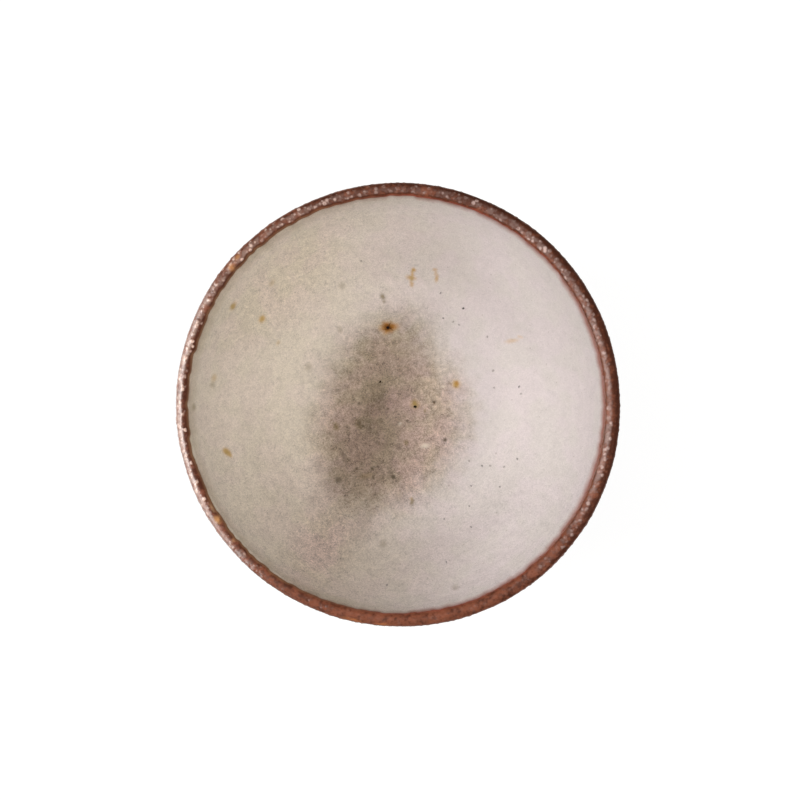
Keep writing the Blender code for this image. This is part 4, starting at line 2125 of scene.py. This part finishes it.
@dataclass
class FootRing(Piece):
    """The turned ring that the cup stands on."""

    name: str = "turned_foot"
    node: str = "foot_ring"
    slot: str = "foot_clay"
    width: float = 4.4 * MM
    taper: float = 0.8 * MM
    chamfer: float = 0.5 * MM
    chamfer_draw: float = 0.08 * MM
    joint: float = 0.35 * MM
    side_steps: int = 22
    sole_steps: int = 14
    edge_steps: int = 4
    blush: float = 0.6
    blush_change: Span = (3.5 * MM, 7 * MM)
    wear: float = 0.8
    wear_change: Span = (0.9 * MM, 0.1 * MM)
    tool_height: float = 0.03
    tool_pitch: float = 1.3 * MM
    tool_fade: Span = (0.1 * MM, 1.0 * MM)
    slow: Swell = (61, 0.03, 4)
    sole_height: float = 0.05
    sole_fade: float = 1.2 * MM
    sole_swell: Swell = (62, 1, 3)

    def build(self) -> Mesh:
        """The ring's mesh, from its outer joint down, across the sole and up inside."""
        line = self.outline()
        radius = line[:, :1]
        height = line[:, 1:]
        steps = np.linalg.norm(np.diff(line, axis=0), axis=1)
        stored = {
            "run": np.concatenate([[0], np.cumsum(steps)])[:, None],
            "blush": self.blush * eased(height, *self.blush_change),
            "wear": self.wear * eased(height, *self.wear_change),
        }
        return self.ring_mesh(self.worn(radius, height), stored, len(line) - self.edge_steps)

    def outline(self) -> Array:
        """The section's line, with close points between its corners and a closed top."""
        _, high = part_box(self.node)
        outer = high.x - self.taper
        inner = outer - self.width
        top = high.z + self.joint
        corners = np.array(
            [
                (high.x, top),
                (outer + self.chamfer_draw, self.chamfer),
                (outer - self.chamfer, 0.0),
                (inner + self.chamfer, 0.0),
                (inner - self.chamfer_draw, self.chamfer),
                (inner - self.taper, top),
            ]
        )
        side, sole, edge = self.side_steps, self.sole_steps, self.edge_steps
        counts = (side, edge, sole, edge, side, edge)
        line = []
        for count, start, stop in zip(counts, corners, np.roll(corners, -1, axis=0)):
            line.append(start + np.linspace(0, 1, count, endpoint=False)[:, None] * (stop - start))
        return np.concatenate(line)

    def worn(self, radius: Array, height: Array) -> Array:
        """The ring with turning marks on its sides and a slightly uneven sole.

        Args:
            radius: radii of the section's line.
            height: its heights.

        Returns:
            The worn points by row and column, none of them below the table.
        """
        plain = round_points(radius, self.angle, height)
        lines = self.tool_height * np.sin(TURN * height / self.tool_pitch + self.angle)
        lines = (lines + swells(plain, self.slow)) * eased(height, *self.tool_fade)
        sole = self.sole_height * (1 + swells(plain, self.sole_swell)) * eased(height, self.sole_fade, 0)
        return round_points(radius + lines * MM, self.angle, height + sole * MM)

    def finish(self) -> Finish:
        """The bare clay, toasted a little darker."""
        return BareClay(name="foot_clay", ground=fired(188, 164, 138), toasted=fired(162, 132, 106))


class Lamp(Enum):
    """The studio's lamps: turn about the cup and height in degrees, width, depth, brightness and tone."""

    KEY = (180, 45, 0.45, 0.45, 0.77, (1.0, 0.99, 0.985))
    FILL = (330, 45, 0.45, 0.45, 0.48, (1.0, 0.97, 0.93))
    TOP = (90, 80, 0.50, 0.50, 0.30, (1.0, 0.985, 0.97))
    GLEAM = (195, 25, 1.30, 0.75, 2.0, (1.0, 0.98, 0.97))


@dataclass
class Studio:
    """The plain pale floor, the soft lamps, the dark card and the white surround."""

    section: Section
    floor_side: float = 6.0
    lamp_distance: float = 0.8
    lamp_aim: float = 0.7
    surround: float = 0.14
    floor_glow: float = 0.90
    floor_shade: float = 0.16
    floor_tone: float = 0.80
    card_from: float = -133.0
    card_to: float = 148.0
    card_near: float = 0.048
    card_far: float = 0.45
    card_foot: float = 1 * MM
    card_height: float = 1.2
    card_steps: int = 48

    def build(self) -> None:
        """Makes the floor, the lamps, the card and the surround."""
        self.make_floor()
        for lamp in Lamp:
            self.make_lamp(lamp)
        self.make_card()
        self.make_surround()
        bpy.context.scene.view_settings.view_transform = "Standard"

    @staticmethod
    def seen_share(wiring: Wiring) -> Value:
        """1 for what is seen, reflected or looked through, 0 for light on other things."""
        path = wiring.outputs(wiring.node("ShaderNodeLightPath"))
        seen = wiring.math("MAXIMUM", path["Is Camera Ray"], path["Is Glossy Ray"])
        return wiring.math("MAXIMUM", seen, path["Is Transmission Ray"])

    def make_floor(self) -> None:
        """The floor, white to the eye but for the cup's shadow, and clear from below."""
        half = self.floor_side / 2
        corners = [(-half, -half, 0), (half, -half, 0), (half, half, 0), (-half, half, 0)]
        mesh = plain_mesh("floor", corners, [(0, 1, 2, 3)])
        material = bpy.data.materials.new("floor")
        material.use_nodes = True
        tree = material.node_tree
        tree.nodes.remove(tree.nodes["Principled BSDF"])
        wiring = Wiring(tree)
        plain = wiring.give("ShaderNodeBsdfDiffuse", fed={"Color": (self.floor_tone,) * 3})
        shade = wiring.give("ShaderNodeBsdfDiffuse", fed={"Color": (self.floor_shade,) * 3})
        glow = wiring.give("ShaderNodeEmission", fed={"Strength": self.floor_glow})
        white = wiring.give("ShaderNodeAddShader", fed={0: shade, 1: glow})
        seen = self.seen_share(wiring)
        above = wiring.give("ShaderNodeMixShader", fed={0: seen, 1: plain, 2: white})
        behind = wiring.give("ShaderNodeNewGeometry", "Backfacing")
        clear = wiring.give("ShaderNodeBsdfTransparent")
        whole = wiring.give("ShaderNodeMixShader", fed={0: behind, 1: above, 2: clear})
        wiring.feed(tree.nodes["Material Output"].inputs["Surface"], whole)
        mesh.materials.append(material)
        put("floor", mesh)

    def make_lamp(self, lamp: Lamp) -> None:
        """One soft lamp that faces the cup.

        Args:
            lamp: which of the lamps is made.
        """
        turn, height, width, depth, bright, tone = lamp.value
        light = bpy.data.lights.new(lamp.name.lower() + "_lamp", "AREA")
        light.shape = "RECTANGLE"
        light.size = width
        light.size_y = depth
        light.color = tone
        light.energy = bright * math.pi**2 * self.lamp_distance**2
        around = math.radians(turn)
        up = math.radians(height)
        flat = self.lamp_distance * math.cos(up)
        rise = self.section.top * self.lamp_aim + self.lamp_distance * math.sin(up)
        body = put(light.name, light)
        body.location = (flat * math.cos(around), flat * math.sin(around), rise)
        body.rotation_euler = (math.pi / 2 - up, 0, around + math.pi / 2)
        body.visible_glossy = lamp in (Lamp.KEY, Lamp.GLEAM)
        body.visible_diffuse = lamp is not Lamp.GLEAM

    def make_card(self) -> None:
        """The dark card that stands round all but the left of the cup and shows in its gloss alone."""
        turn = np.radians(np.linspace(self.card_from, self.card_to, self.card_steps))
        out = np.array([self.card_near, self.card_far, self.card_far, 0])[:, None]
        up = np.array([self.card_foot, self.card_foot, self.card_height, self.card_height])[:, None]
        points = round_points(out, turn, up)
        count = self.card_steps
        steps = [row * count + column for row in range(len(out) - 1) for column in range(count - 1)]
        faces = [(one, one + 1, one + count + 1, one + count) for one in steps]
        mesh = plain_mesh("dark_card", points.reshape(-1, 3).tolist(), faces)
        mesh.materials.append(CardPaper().material())
        card = put("dark_card", mesh)
        card.visible_camera = False
        card.visible_diffuse = False
        card.visible_transmission = False
        card.visible_shadow = False

    def make_surround(self) -> None:
        """The surround: white to the eye and in gloss, a plain even light otherwise."""
        world = bpy.data.worlds.new("surround")
        world.use_nodes = True
        wiring = Wiring(world.node_tree)
        ground = world.node_tree.nodes["Background"].inputs
        wiring.feed(ground["Color"], (1, 1, 1))
        wiring.feed(ground["Strength"], self.seen_share(wiring).spread(self.surround, 1.0))
        bpy.context.scene.world = world


def main() -> None:
    """Builds the cup's pieces in order, then the studio and the camera."""
    logging.basicConfig(level=logging.INFO, format="%(message)s")
    section = Section.from_frame()
    view = PhotoView(section)
    edge = LipEdge(section, view)
    pieces = (
        ClayBody(section),
        FootRing(section),
        Liner(section, edge=edge),
        LipCoat(section, edge=edge),
        OuterCoat(section),
    )
    for piece in pieces:
        made = piece.dress(piece.build())
        LOG.info("%s: %d faces", made.name, len(made.data.polygons))
    Studio(section).build()
    view.set_camera()


if __name__ == "__main__":
    main()
